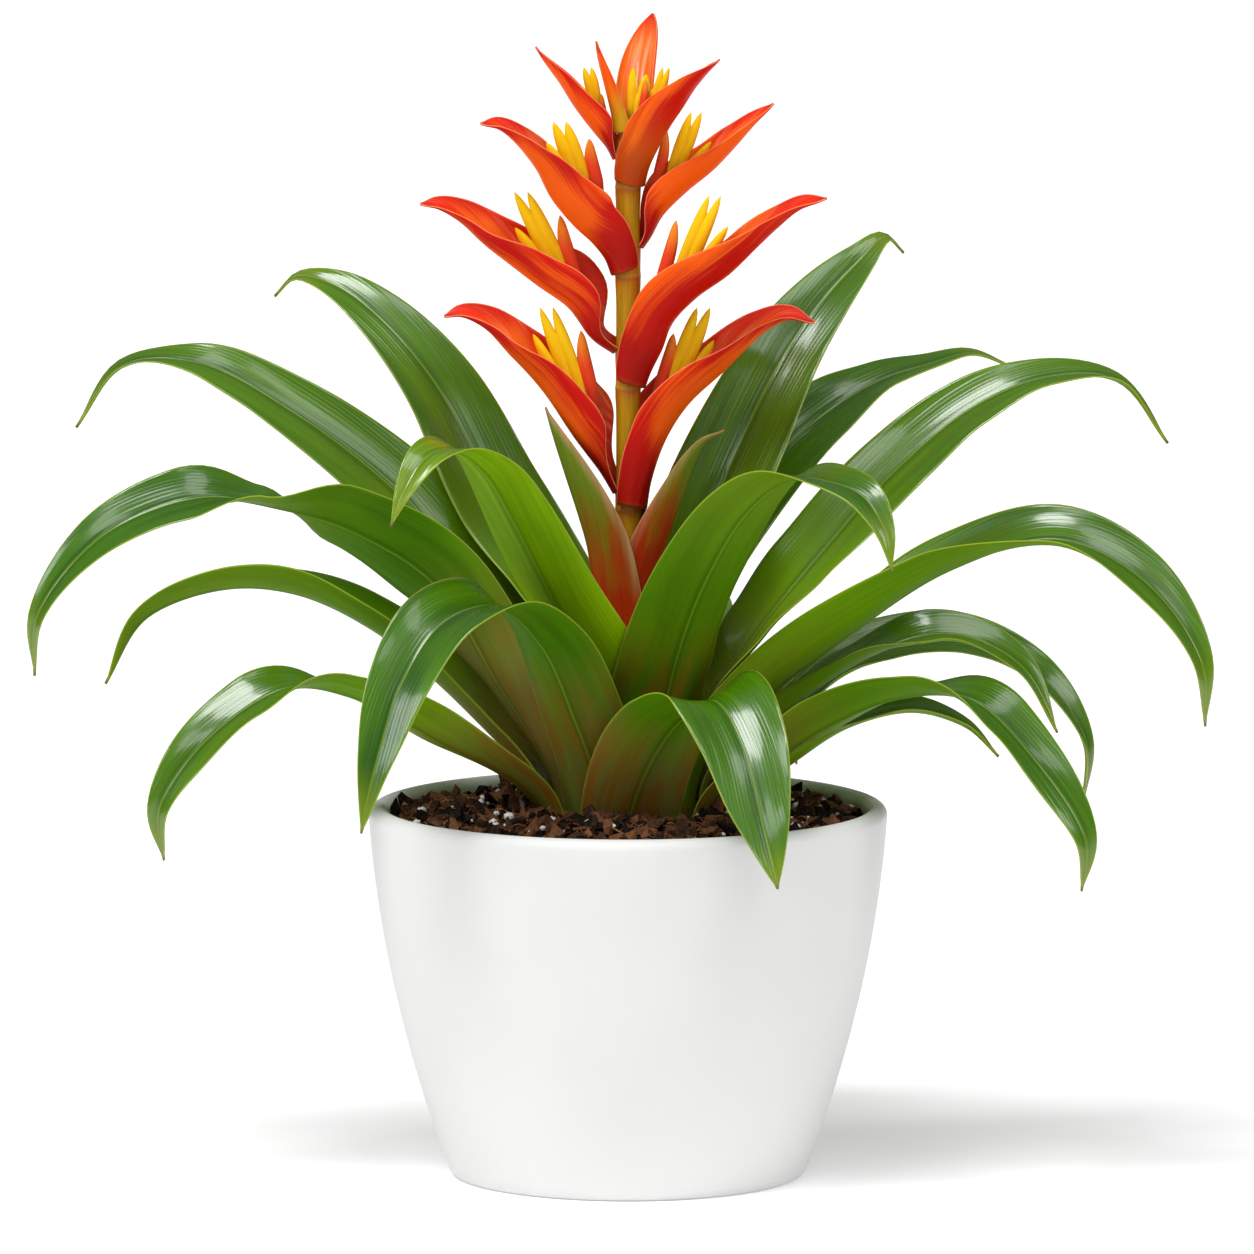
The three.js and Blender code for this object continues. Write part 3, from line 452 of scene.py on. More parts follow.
def boat_section(bract, s, t, reach):
    """Across and inward places on a bract's boat-shaped section, and its half width."""
    start = bract["path"][0][0]
    full = np.where(t < 0, bract["wrap"][0], bract["wrap"][1])
    opening = smoothstep(s, 0, 0.25)
    wrap = np.radians(lerp(full, 90, opening))
    hug = start + np.where(full > 90, LEAN * (reach - start) / (1 - np.cos(wrap)), 0)
    swell = smoothstep(s, 0, 0.35)
    flap = lerp(start, np.where(t < 0, bract["flaps"][0], bract["flaps"][1]), swell)
    depth = np.maximum(lerp(hug, flap * (1 - s ** bract["taper"]) ** 1.1, opening), 0.3)
    gape = lerp(start, bract["gape"], swell) * (1 - s ** 5) ** 0.8
    angle = t * wrap
    half = (gape + depth) * 0.8
    return np.maximum(gape, 0.4) * np.sin(angle), depth * (1 - np.cos(angle)), half


def crease(s, t, half, depth):
    """How far the midrib and the fold along it sink, strongest in the middle of the length."""
    place = t * half / MIDRIB_HALF_WIDTH
    fold = FOLD_DEPTH * (1 - np.minimum(np.abs(t), 1)) ** 1.5 if depth > 0 else 0
    return (depth * np.exp(-place * place) + fold) * smoothstep(s, 0.05, 0.3) * (1 - smoothstep(s, 0.8, 1))


def edge_wave(s, t, seed):
    """Slow waves that lift the blade towards its edges."""
    wave = np.sin(9 * s + 2.1 * seed + 1.4 * np.sign(t)) + 0.5 * np.sin(21 * s + 3.7 * seed * np.sign(t))
    return WAVE_HEIGHT * wave * np.abs(t) ** 3 * smoothstep(s, 0.25, 0.45) * (1 - smoothstep(s, 0.85, 1))


def blade_grids(blade, section, thickness, grid, seed, rib_depth, waves):
    """The grids of points of the inner and the outer face, with shares, widths and lengths."""
    steps, strips = grid
    points, ahead, length = even_curve([at(*p) for p in blade["path"]], steps)
    s = np.repeat(np.linspace(0, 1, steps + 1)[:, None], strips + 1, axis=1)
    t = np.repeat(np.linspace(-1, 1, strips + 1)[None, :], steps + 1, axis=0)
    azimuth = np.arctan2(points[:, 1], points[:, 0])
    across = np.stack([-np.sin(azimuth), np.cos(azimuth), np.zeros_like(azimuth)], axis=1)
    across = unit(across - ahead * np.sum(across * ahead, axis=1, keepdims=True))
    side = np.cross(ahead, across)
    turn = np.radians(along(blade["roll"], np.linspace(0, 1, steps + 1)))[:, None]
    across = across * np.cos(turn) + side * np.sin(turn)
    inward = np.cross(ahead, across)
    reach = np.repeat(np.hypot(points[:, 0], points[:, 1])[:, None], strips + 1, axis=1)
    x, y, half = section(blade, s, t, reach)
    nudge = 0.02
    x0, y0 = section(blade, s, t - nudge, reach)[:2]
    x1, y1 = section(blade, s, t + nudge, reach)[:2]
    run = np.hypot(x1 - x0, y1 - y0)
    normal_x, normal_y = (y0 - y1) / run, (x1 - x0) / run
    lift = waves * edge_wave(s, t, seed) - crease(s, t, half, rib_depth)
    thin = thickness * lerp(1, EDGE_THICKNESS_SHARE, smoothstep(np.abs(t), 0.55, 1))
    faces = []
    for face in (0.5, -0.5):
        offset_x = x + (lift + face * thin) * normal_x
        offset_y = y + (lift + face * thin) * normal_y
        faces.append(points[:, None] + across[:, None] * offset_x[..., None]
                     + inward[:, None] * offset_y[..., None])
    return faces, s, t, half, length


def blade_faces(steps, strips):
    """Quads of the inner face, the outer face and the thin rim, in that order."""
    row = strips + 1
    under = row * (steps + 1)
    inner, outer, rim = [], [], []
    for i in range(steps):
        for j in range(strips):
            a = i * row + j
            b = a + row
            inner.append((a, b, b + 1, a + 1))
            outer.append((under + a, under + a + 1, under + b + 1, under + b))
        left, right = i * row, i * row + strips
        rim.append((left, under + left, under + left + row, left + row))
        rim.append((right, right + row, under + right + row, under + right))
    for j in range(strips):
        end = steps * row + j
        rim.append((j, j + 1, under + j + 1, under + j))
        rim.append((end, under + end, under + end + 1, end + 1))
    return inner, outer, rim


def map_blade(mesh, steps, strips, inner_count):
    """A map for baked textures: the inner face in the left half and the outer face in the right."""
    row = strips + 1
    under = row * (steps + 1)
    layer = mesh.uv_layers.new(name="OFBake")
    corners = np.array([loop.vertex_index for loop in mesh.loops])
    local = np.where(corners >= under, corners - under, corners)
    u = (local % row) / strips
    v = (local // row) / steps
    outer = corners >= under
    column = np.where(outer, 0.54 + 0.44 * u, 0.02 + 0.44 * u)
    rim_start = 8 * inner_count
    in_rim = np.arange(len(corners)) >= rim_start
    near = np.where(u < 0.5, 0.0, 0.5)
    column = np.where(in_rim, np.where(outer, near, near + np.where(u < 0.5, 0.015, -0.015)), column)
    spots = np.stack([column, 0.02 + 0.96 * v], axis=1)
    layer.data.foreach_set("uv", spots.ravel())


def make_blade(blade, section, thickness, grid, materials, seed, rib_depth, waves):
    """A leaf or bract in place of its solid, with the values that its skins read."""
    steps, strips = grid
    grids, s, t, half, length = blade_grids(blade, section, thickness, grid, seed, rib_depth, waves)
    vertices = np.concatenate([face.reshape(-1, 3) for face in grids])
    inner, outer, rim = blade_faces(steps, strips)
    face_slots = [0] * len(inner) + [1] * (len(outer) + len(rim))
    piece = new_piece(blade["name"] + "_blade", vertices, inner + outer + rim, materials,
                      blade["name"], face_slots=face_slots)
    sharp = piece.data.attributes.new("sharp_face", "BOOLEAN", "FACE")
    sharp.data.foreach_set("value", [False] * (2 * len(inner)) + [True] * len(rim))
    map_blade(piece.data, steps, strips, len(inner))
    edge = (1 - np.abs(t)) * half
    for name, columns in (("place", (t, s, edge)),
                          ("ruler", (t * half, s * length, np.full(s.shape, seed)))):
        values = np.stack([column.ravel() for column in columns], axis=1)
        add_values(piece, name, np.tile(values, (2, 1)))
    add_values(piece, "tint", np.tile(blade["tint"], (2 * s.size, 1)))


# Materials

class Graph:
    """A material's node tree, with short calls for the nodes that this script uses."""

    def __init__(self, name):
        self.material = bpy.data.materials.new(name)
        self.material.use_nodes = True
        self.tree = self.material.node_tree
        self.tree.nodes.clear()
        self.shader = self.tree.nodes.new("ShaderNodeBsdfPrincipled")
        output = self.tree.nodes.new("ShaderNodeOutputMaterial")
        self.tree.links.new(self.shader.outputs["BSDF"], output.inputs["Surface"])

    def put(self, socket, value):
        if isinstance(value, bpy.types.NodeSocket):
            self.tree.links.new(value, socket)
        else:
            socket.default_value = value

    def finish(self, colour, roughness, height=None, height_scale=MM, **plain):
        self.put(self.shader.inputs["Base Color"], colour)
        self.put(self.shader.inputs["Roughness"], roughness)
        if height is not None:
            bump = self.tree.nodes.new("ShaderNodeBump")
            bump.inputs["Distance"].default_value = height_scale
            self.put(bump.inputs["Height"], height)
            self.put(self.shader.inputs["Normal"], bump.outputs["Normal"])
        for name, value in plain.items():
            self.shader.inputs[name.replace("_", " ")].default_value = value
        return self.material

    def math(self, operation, a, b=0.0):
        node = self.tree.nodes.new("ShaderNodeMath")
        node.operation = operation
        self.put(node.inputs[0], a)
        self.put(node.inputs[1], b)
        return node.outputs[0]

    def times(self, a, b):
        return self.math("MULTIPLY", a, b)

    def plus(self, a, b):
        return self.math("ADD", a, b)

    def minus(self, a, b):
        return self.math("SUBTRACT", a, b)

    def total(self, *pairs):
        """The sum of values, each times its weight."""
        whole = self.times(*pairs[0])
        for value, weight in pairs[1:]:
            whole = self.plus(whole, self.times(value, weight))
        return whole

    def uneven(self, value, low, swing):
        """A roughness from low to low and swing, by a value from 0 to 1."""
        return self.plus(self.times(value, swing), low)

    def ease(self, value, low, high, start=0.0, end=1.0):
        node = self.tree.nodes.new("ShaderNodeMapRange")
        node.interpolation_type = "SMOOTHSTEP"
        self.put(node.inputs["Value"], value)
        for name, number in (("From Min", low), ("From Max", high), ("To Min", start), ("To Max", end)):
            self.put(node.inputs[name], number)
        return node.outputs["Result"]

    def mix(self, share, a, b):
        node = self.tree.nodes.new("ShaderNodeMix")
        node.data_type = "RGBA"
        self.put(node.inputs[0], share)
        for socket, value in ((node.inputs[6], a), (node.inputs[7], b)):
            self.put(socket, (*value, 1) if isinstance(value, tuple) else value)
        return node.outputs[2]

    def lay(self, colour, tone, share, strength):
        """The colour with a tone laid over it, as strong as the share times the strength."""
        return self.mix(self.times(share, strength), colour, tone)

    def split(self, vector):
        node = self.tree.nodes.new("ShaderNodeSeparateXYZ")
        self.put(node.inputs[0], vector)
        return node.outputs

    def join(self, x, y, z):
        node = self.tree.nodes.new("ShaderNodeCombineXYZ")
        for socket, value in zip(node.inputs, (x, y, z)):
            self.put(socket, value)
        return node.outputs[0]

    def stored(self, name):
        node = self.tree.nodes.new("ShaderNodeAttribute")
        node.attribute_name = name
        return self.split(node.outputs["Vector"])

    def noise(self, vector, scale, detail=2.0, roughness=0.5):
        node = self.tree.nodes.new("ShaderNodeTexNoise")
        self.put(node.inputs["Vector"], vector)
        node.inputs["Scale"].default_value = scale
        node.inputs["Detail"].default_value = detail
        node.inputs["Roughness"].default_value = roughness
        return node.outputs["Fac"]

    def cells(self, vector, scale):
        node = self.tree.nodes.new("ShaderNodeTexVoronoi")
        self.put(node.inputs["Vector"], vector)
        node.inputs["Scale"].default_value = scale
        return node.outputs

    def own_place(self):
        node = self.tree.nodes.new("ShaderNodeTexCoord")
        return node.outputs["Object"]


class BladeGraph(Graph):
    """A blade's material, with its stored places and the streaks that run along it."""

    def __init__(self, name):
        super().__init__(name)
        self.t, self.s, self.edge = self.stored("place")
        self.x, self.y, self.seed = self.stored("ruler")
        self.tint = self.stored("tint")
        self.side = self.math("ABSOLUTE", self.t)

    def streaks(self, across, lengthwise, offset, detail=2.0):
        """Noise with cells of across by lengthwise millimetres, drawn out along the blade."""
        x = self.times(self.x, 1 / across)
        y = self.times(self.y, 1 / lengthwise)
        z = self.plus(self.times(self.seed, 3.7), offset)
        return self.noise(self.join(x, y, z), 1, detail)

    def veins(self, spacing):
        """Fine ridges along the blade, a little uneven, from 0 to 1."""
        drift = self.times(self.streaks(spacing * 4, 60, 31), 6)
        wave = self.math("SINE", self.plus(self.times(self.x, 2 * math.pi / spacing), drift))
        return self.plus(self.times(wave, 0.5), 0.5)


def leaf_greens(g, skin, fine, veins):
    """Bands and clouds of green along the blade, with the leaf's own share of lime."""
    bands = g.ease(g.streaks(4.5, 130, 0), 0.35, 0.65)
    cloud = g.ease(g.plus(g.streaks(16, 55, 61), g.times(g.side, 0.2)), 0.42, 0.72)
    colour = g.mix(g.total((bands, 0.4), (cloud, 0.6)), skin["deep"], skin["fresh"])
    colour = g.lay(colour, skin["lime"], g.tint[0], g.ease(g.streaks(9, 80, 5), 0.2, 0.7, 0.6, 1.0))
    colour = g.mix(g.ease(fine, 0.3, 0.75, 0.0, 0.35), colour, skin["deep"])
    return g.lay(colour, skin["fresh"], veins, 0.12)


def leaf_scurf(g, fine, colour):
    """Dull pale scales on the underside, on the outer half of the darker leaves."""
    scurf = g.times(g.ease(g.s, 0.38, 0.7, 0.0, 0.55), g.ease(fine, 0.2, 0.7, 0.6, 1.0))
    return g.lay(colour, (0.2, 0.3, 0.015), scurf, g.minus(1.0, g.times(g.tint[0], 0.8)))


def leaf_foot_and_painted_glow(g, fine, colour):
    """A yellow-green painted glow of light low on the lime leaves, and the tan and the red-brown of the
    foot.
    """
    # painted light: a yellow-green glow low on the lime leaves stands in for light shining through the
    # blade
    colour = g.lay(colour, (0.3, 0.52, 0.001), g.tint[0], g.ease(g.s, 0.3, 0.6, 0.9, 0.0))
    foot = g.ease(g.plus(g.s, g.times(g.streaks(3, 90, 23), 0.15)), 0.2, 0.5, 1.0, 0.0)
    tan = g.times(g.times(foot, g.tint[2]), g.ease(fine, 0.2, 0.8, 0.6, 1.0))
    colour = g.mix(tan, colour, (0.23, 0.16, 0.045))
    blush = g.times(g.ease(g.s, 0.12, 0.42, 1.0, 0.0), g.tint[1])
    blush = g.times(blush, g.ease(g.streaks(7, 30, 17), 0.35, 0.6))
    return g.lay(colour, (0.25, 0.085, 0.004), blush, 0.9)


def leaf_lines(g, skin, rib, colour):
    """The midrib with painted shade in the groove on each side, the pale edge and the dry tip."""
    painted_groove_shade = g.minus(g.ease(g.math("ABSOLUTE", g.x), 0.9, 2.4, 1.0, 0.0), rib)
    # painted shade: darker green in the grooves beside the midrib
    colour = g.lay(colour, skin["deep"], painted_groove_shade, 0.4)
    colour = g.lay(colour, (0.17, 0.29, 0.012), rib, 0.55)
    colour = g.lay(colour, (0.34, 0.42, 0.04), g.ease(g.edge, 0.1, 0.45, 1.0, 0.0), 0.7)
    colour = g.lay(colour, (0.22, 0.3, 0.01), g.ease(g.s, 0.88, 0.985), 0.6)
    return g.mix(g.ease(g.s, 0.988, 0.999), colour, (0.2, 0.11, 0.03))


def leaf_material(skin):
    """Leaf skin with veins and ripples, glossy above and dull below."""
    g = BladeGraph(skin["name"])
    fine = g.streaks(1.1, 60, 11, 3)
    veins = g.veins(1.25)
    rib = g.ease(g.math("ABSOLUTE", g.x), 0.1, 0.7, 1.0, 0.0)
    colour = leaf_greens(g, skin, fine, veins)
    if skin is UNDER_SKIN:
        colour = leaf_scurf(g, fine, colour)
    colour = leaf_foot_and_painted_glow(g, fine, colour)
    colour = leaf_lines(g, skin, rib, colour)
    height = g.total((veins, 0.035), (fine, 0.09), (g.streaks(5.5, 160, 41), 0.7), (rib, skin["rib"]))
    return g.finish(colour, g.uneven(fine, skin["rough"], 0.16), height,
                    Specular_IOR_Level=skin["level"], Coat_Weight=skin["coat"], Coat_Roughness=0.12)


def scape_material(name, inner):
    """Skin of a small stem leaf: green above, red-brown below, mottled between, with a pale tan edge."""
    g = BladeGraph(name)
    fine = g.streaks(0.9, 40, 11, 3)
    mottle = g.streaks(4, 24, 3, 3)
    green = g.mix(fine, (0.07, 0.15, 0.003), (0.2, 0.25, 0.015))
    brown = g.mix(fine, (0.17, 0.08, 0.002), (0.3, 0.14, 0.004))
    red = g.mix(fine, (0.27, 0.014, 0.001), (0.46, 0.035, 0.003))
    level = g.plus(g.s, g.times(g.minus(mottle, 0.5), 0.5))
    level = g.minus(level, g.times(g.tint[1], 0.15))
    colour = g.mix(g.ease(level, 0.45, 0.75), brown, green)
    colour = g.mix(g.ease(level, 0.3, 0.58, 0.3 if inner else 1.0, 0.0), colour, red)
    band = g.times(g.ease(g.edge, 0.4, 3.2, 1.0, 0.0), g.ease(g.s, 0.3, 0.5))
    band = g.times(g.times(band, g.tint[2]), g.ease(fine, 0.25, 0.6, 0.4, 0.9))
    colour = g.mix(band, colour, (0.42, 0.25, 0.11))
    colour = g.lay(colour, (0.5, 0.24, 0.1), g.ease(g.edge, 0.05, 0.4, 1.0, 0.0), 0.7)
    colour = g.mix(g.ease(g.s, 0.95, 1.0), colour, (0.3, 0.17, 0.06))
    height = g.total((g.veins(1.0), 0.04), (fine, 0.1))
    return g.finish(colour, g.uneven(fine, 0.4, 0.15), height, Specular_IOR_Level=0.1)


def bract_reds(g, inner, fine, broad):
    """Streaks of orange along the middle, or along the rims where the tint is negative, on red."""
    red = (0.82, 0.03, 0.004) if inner else (0.58, 0.005, 0.001)
    orange = (0.98, 0.17, 0.008) if inner else (0.92, 0.105, 0.001)
    turned = g.math("LESS_THAN", g.tint[0], 0)
    middle = g.math("ABSOLUTE", g.minus(turned, g.ease(g.side, 0.25, 0.95, 1.0, 0.0)))
    heart = g.times(g.ease(g.s, 0.05, 0.35), g.ease(g.s, 0.65, 1.0, 1.0, 0.2))
    share = g.times(g.plus(middle, g.math("ABSOLUTE", g.tint[0])), heart)
    share = g.plus(share, g.times(g.minus(broad, 0.5), 2.2))
    share = g.plus(share, g.times(g.minus(fine, 0.5), 1.3))
    return g.mix(g.ease(share, 0.15, 1.1), red, orange)


def bract_painted_sheen(g, colour):
    """Painted highlight: pale streaks painted on the inner face as its sheen, and its red tip."""
    # painted highlight: pale streaks of sheen on the inner face, weaker towards the tip
    pale = g.times(g.tint[2], g.ease(g.streaks(2, 30, 51, 3), 0.48, 0.68))
    colour = g.lay(colour, (1.0, 0.42, 0.2), pale, g.ease(g.s, 0.6, 0.95, 0.85, 0.2))
    return g.mix(g.ease(g.s, 0.72, 0.98, 0.0, 0.8), colour, (0.75, 0.02, 0.004))


def bract_material(name, inner):
    """Waxy bract skin: orange and red streaks, a dark foot and tip, and a thin pale edge."""
    g = BladeGraph(name)
    fine = g.streaks(0.8, 40, 11, 3)
    broad = g.streaks(5, 45, 5)
    colour = bract_reds(g, inner, fine, broad)
    colour = g.lay(colour, (0.62, 0.33, 0.01), g.tint[1], g.ease(g.s, 0.1, 0.6, 1.0, 0.0))
    # the inner face gets a painted highlight of pale streaks
    if inner:
        colour = bract_painted_sheen(g, colour)
    depth = g.times(g.ease(g.s, 0.04, 0.3, 1.0, 0.0), g.minus(1.0, g.tint[1]))
    colour = g.lay(colour, (0.24, 0.004, 0.001), depth, 0.6)
    colour = g.lay(colour, (0.4, 0.1, 0.02), g.ease(g.s, 0.0, 0.025, 1.0, 0.0), 0.5)
    colour = g.mix(g.ease(g.s, 0.93, 1.0, 0.0, 0.8), colour, (0.45, 0.015, 0.006))
    colour = g.lay(colour, (0.95, 0.3, 0.14), g.ease(g.edge, 0.05, 0.35, 1.0, 0.0), 0.75)
    height = g.total((g.veins(0.9), 0.03), (fine, 0.1), (broad, 0.3))
    return g.finish(colour, g.uneven(fine, 0.34, 0.15), height,
                    Specular_IOR_Level=0.25 if inner else 0.12)


def stem_material():
    """Olive-yellow stem with brown streaks, a pale ring at each node and a red-brown blush below it."""
    g = Graph("stem_skin")
    x, y, z = g.split(g.own_place())
    ring, blush = g.stored("place")[:2]
    angle = g.math("ARCTAN2", y, x)
    spot = g.join(g.times(angle, 3.5), g.times(z, 45), 0)
    fine = g.noise(spot, 2.4, 4)
    broad = g.noise(spot, 0.6, 2)
    colour = g.mix(g.ease(broad, 0.3, 0.7), (0.58, 0.3, 0.005), (0.42, 0.24, 0.005))
    colour = g.mix(g.ease(fine, 0.45, 0.75, 0.0, 0.6), colour, (0.45, 0.16, 0.004))
    colour = g.mix(blush, colour, (0.4, 0.035, 0.01))
    colour = g.lay(colour, (0.6, 0.34, 0.12), ring, 0.4)
    return g.finish(colour, g.uneven(fine, 0.35, 0.2), fine, 0.0003, Specular_IOR_Level=0.15)


def petal_material(name, base, middle, tip):
    """Petal skin, coloured from its root to its tip, with fine lengthwise lines."""
    g = BladeGraph(name)
    fine = g.streaks(0.5, 14, 3, 3)
    place = g.plus(g.s, g.times(g.minus(fine, 0.5), 0.35))
    colour = g.mix(g.ease(place, 0.05, 0.5), base, middle)
    colour = g.mix(g.ease(place, 0.55, 0.95), colour, tip)
    height = g.total((g.veins(0.6), 0.04), (fine, 0.08))
    return g.finish(colour, g.uneven(fine, 0.38, 0.15), height, Specular_IOR_Level=0.12)


def pot_material():
    """Matte white moulded surface with a faint grain and slow unevenness."""
    g = Graph("pot_matte_white")
    place = g.own_place()
    grain = g.noise(place, 2600, 3)
    slow = g.noise(place, 22, 2)
    colour = g.mix(g.ease(slow, 0.3, 0.7), (0.72, 0.718, 0.715), (0.74, 0.738, 0.735))
    colour = g.lay(colour, (0.68, 0.675, 0.67), grain, 0.04)
    height = g.total((grain, 0.02), (slow, 0.25))
    return g.finish(colour, g.uneven(grain, 0.42, 0.12), height, Specular_IOR_Level=0.3)


def soil_material(name, dark, light, scale, rough):
    """Broken organic matter: dark pores, fibrous light flecks and a crumbly relief."""
    g = Graph(name)
    place = g.own_place()
    x, y, z = g.split(place)
    grain = g.noise(place, scale, 6, 0.65)
    fibre = g.noise(g.join(g.times(x, 3), y, z), scale * 2.3, 4)
    shade = g.stored("place")[0]
    share = g.total((grain, 0.7), (shade, 0.6))
    colour = g.mix(g.ease(share, 0.42, 1.05), dark, light)
    colour = g.mix(g.ease(fibre, 0.58, 0.75, 0.0, 0.5), colour, (0.32, 0.13, 0.05))
    return g.finish(colour, g.uneven(grain, rough, 0.2), grain, 0.0012, Specular_IOR_Level=0.2)


def perlite_material():
    """White expanded grains with a pitted surface and grey painted shade in the pits."""
    g = Graph("perlite_white")
    place = g.own_place()
    pits = g.cells(place, 1800)["Distance"]
    grain = g.noise(place, 900, 4)
    # painted shade: grey in the pits
    colour = g.mix(g.ease(pits, 0.05, 0.45), (0.5, 0.46, 0.42), (0.86, 0.85, 0.82))
    return g.finish(colour, g.uneven(grain, 0.6, 0.2), pits, 0.0003, Specular_IOR_Level=0.3)


# Pot

def wall_radius(height):
    """The radius of the outer wall: a quadratic curve from foot to rim."""
    share = height / (POT_HEIGHT - 1)
    a, b, c = FOOT_RADIUS, WALL_BULGE_RADIUS, RIM_RADIUS
    return a * (1 - share) ** 2 + 2 * b * share * (1 - share) + c * share ** 2


def inner_radius(height):
    return wall_radius(height) - WALL_THICKNESS


def make_pot():
    """The pot's turned shell: foot, outer wall, rounded lip, inner wall and floor."""
    lip_radius = WALL_THICKNESS / 2
    lip_height = POT_HEIGHT - lip_radius
    ring = FOOT_RADIUS - FOOT_RING_WIDTH
    outline = [[0, FOOT_RECESS], [ring - 1, FOOT_RECESS], [ring, 0], [FOOT_RADIUS - FOOT_CHAMFER, 0]]
    for i in range(1, 6):
        angle = math.pi / 2 * i / 6
        outline.append([FOOT_RADIUS - FOOT_CHAMFER * (1 - math.sin(angle)),
                        FOOT_CHAMFER * (1 - math.cos(angle))])
    for i in range(49):
        height = lerp(FOOT_CHAMFER, lip_height, i / 48)
        outline.append([wall_radius(height), height])
    lip_centre = wall_radius(lip_height) - lip_radius
    for i in range(1, 17):
        angle = math.pi * i / 16
        outline.append([lip_centre + lip_radius * math.cos(angle),
                        lip_height + lip_radius * math.sin(angle)])
    for i in range(23, -1, -1):
        height = lerp(FLOOR_THICKNESS, lip_height, i / 24)
        outline.append([inner_radius(height), height])
    outline.append([0, FLOOR_THICKNESS])
    vertices, faces = lathe(outline, POT_SIDES)
    new_piece("pot_shell", vertices, faces, [pot_material()], "pot")


# Soil

def soil_height(reach):
    share = smoothstep(reach, PLANT_HOLE_RADIUS + 1, inner_radius(SOIL_EDGE_HEIGHT))
    return lerp(SOIL_MOUND_HEIGHT, SOIL_EDGE_HEIGHT, share)


def make_soil_bed(material):
    """The soil's closed body, with a lumpy top."""
    rng = random.Random(SOIL_SEED)
    edge = inner_radius(SOIL_EDGE_HEIGHT) - SOIL_GAP
    outline = [[0, FLOOR_THICKNESS + SOIL_GAP]]
    for i in range(9):
        height = lerp(FLOOR_THICKNESS + SOIL_GAP, SOIL_EDGE_HEIGHT - 3, i / 8)
        outline.append([inner_radius(height) - SOIL_GAP - 0.4, height])
    rings = 26
    for i in range(rings + 1):
        reach = lerp(edge, PLANT_HOLE_RADIUS - 3, i / rings)
        outline.append([reach, float(soil_height(reach)) - 2.0])
    outline.append([0, CORE_BOTTOM - 0.4])
    vertices, faces = lathe(outline, 120)
    bumpy = []
    for x, y, z in vertices:
        if z > SOIL_EDGE_HEIGHT - 2.6 and PLANT_HOLE_RADIUS < math.hypot(x, y) < edge - 0.5:
            z += 1.3 * rng.random()
        bumpy.append((x, y, z))
    piece = new_piece("soil_bed", bumpy, faces, [material], "soil")
    add_values(piece, "place", np.zeros((len(bumpy), 3)))


def chip_shape(rng, length, breadth, depth):
    """A bark chip: a jagged slab with one pointed end, as 10 corners."""
    corners = []
    for level in (-0.5, 0.5):
        for i in range(5):
            angle = 2 * math.pi * (i + 0.6 * rng.random()) / 5
            pull = 0.6 + 0.5 * rng.random()
            corners.append([length / 2 * math.cos(angle) * pull, breadth / 2 * math.sin(angle) * pull,
                            depth * level * (0.6 + 0.8 * rng.random())])
    corners[0][0] = corners[5][0] = length * (0.55 + 0.2 * rng.random())
    faces = [(4, 3, 2, 1, 0), (5, 6, 7, 8, 9)]
    faces += [(i, (i + 1) % 5, 5 + (i + 1) % 5, 5 + i) for i in range(5)]
    return corners, faces


def scattered(rng):
    """A random place on the soil outside the rosette, even over its area: reach and azimuth."""
    far = inner_radius(SOIL_EDGE_HEIGHT) - 1.5
    reach = math.sqrt(lerp(BARE_RADIUS ** 2, far * far, rng.random()))
    return reach, 360 * rng.random()


def keep_inside(points):
    """Pulls points that would reach past the pot's inner wall back inside it."""
    points = np.asarray(points, float)
    reach = np.hypot(points[:, 0], points[:, 1])
    limit = np.array([inner_radius(min(z, POT_HEIGHT - 1)) for z in points[:, 2]]) - SOIL_GAP
    scale = np.minimum(1, limit / np.maximum(reach, 1e-6))
    points[:, :2] *= scale[:, None]
    return points


def turned(corners, rng, tilt, place):
    """Corners turned by a random amount, no more than tilt from lying flat, and moved to place."""
    turn = Matrix.Rotation(2 * math.pi * rng.random(), 3, "Z") @ Matrix.Rotation(
        tilt * (2 * rng.random() - 1), 3, "Y") @ Matrix.Rotation(tilt * (2 * rng.random() - 1), 3, "X")
    return [np.array(turn @ Vector(corner)) + place for corner in corners]


def make_chips(material):
    """Bark chips that lie in the soil, and a few long shards that stand out of it."""
    rng = random.Random(SOIL_SEED + 1)
    chips = Bundle()
    for i in range(CHIP_COUNT + SHARD_COUNT):
        reach, azimuth = scattered(rng)
        layer = rng.random()
        length = 2.5 + 8.0 * rng.random() ** 1.8
        breadth = length * (0.35 + 0.45 * rng.random())
        tilt = 0.8
        if i >= CHIP_COUNT:
            layer, length, tilt = 1.0, 7 + 4 * rng.random(), 1.5
            breadth = length * 0.5
        corners, chip_faces = chip_shape(rng, length, breadth, breadth * (0.25 + 0.35 * rng.random()))
        place = at(reach, float(soil_height(reach)) - 2.2 + 3.0 * layer, azimuth)
        points = keep_inside(turned(corners, rng, tilt, place))
        chips.add(points, chip_faces, [(rng.random(), 0, 0)] * len(points))
    piece = new_piece("soil_chips", chips.vertices, chips.faces, [material], None, smooth=False)
    add_values(piece, "place", chips.values)


def fibre_shape(rng, middle, number):
    """A thin bent strand about its middle: a tube of 6 rings of 4 points."""
    heading = 2 * math.pi * rng.random()
    length = 3 + 6 * rng.random()
    bend = 0.8 * (2 * rng.random() - 1)
    radius = 0.12 + 0.16 * rng.random()
    points = []
    for k in range(6):
        share = k / 5 - 0.5
        angle = heading + bend * share
        centre = middle + np.array([math.cos(angle) * length * share, math.sin(angle) * length * share,
                                    0.8 * math.sin(5 * share + number)])
        thin = radius * (1 - (2 * share) ** 4 * 0.8)
        side = np.array([-math.sin(angle), math.cos(angle), 0]) * thin
        up = np.array([0, 0, thin])
        points.extend([centre + side, centre + up, centre - side, centre - up])
    return points


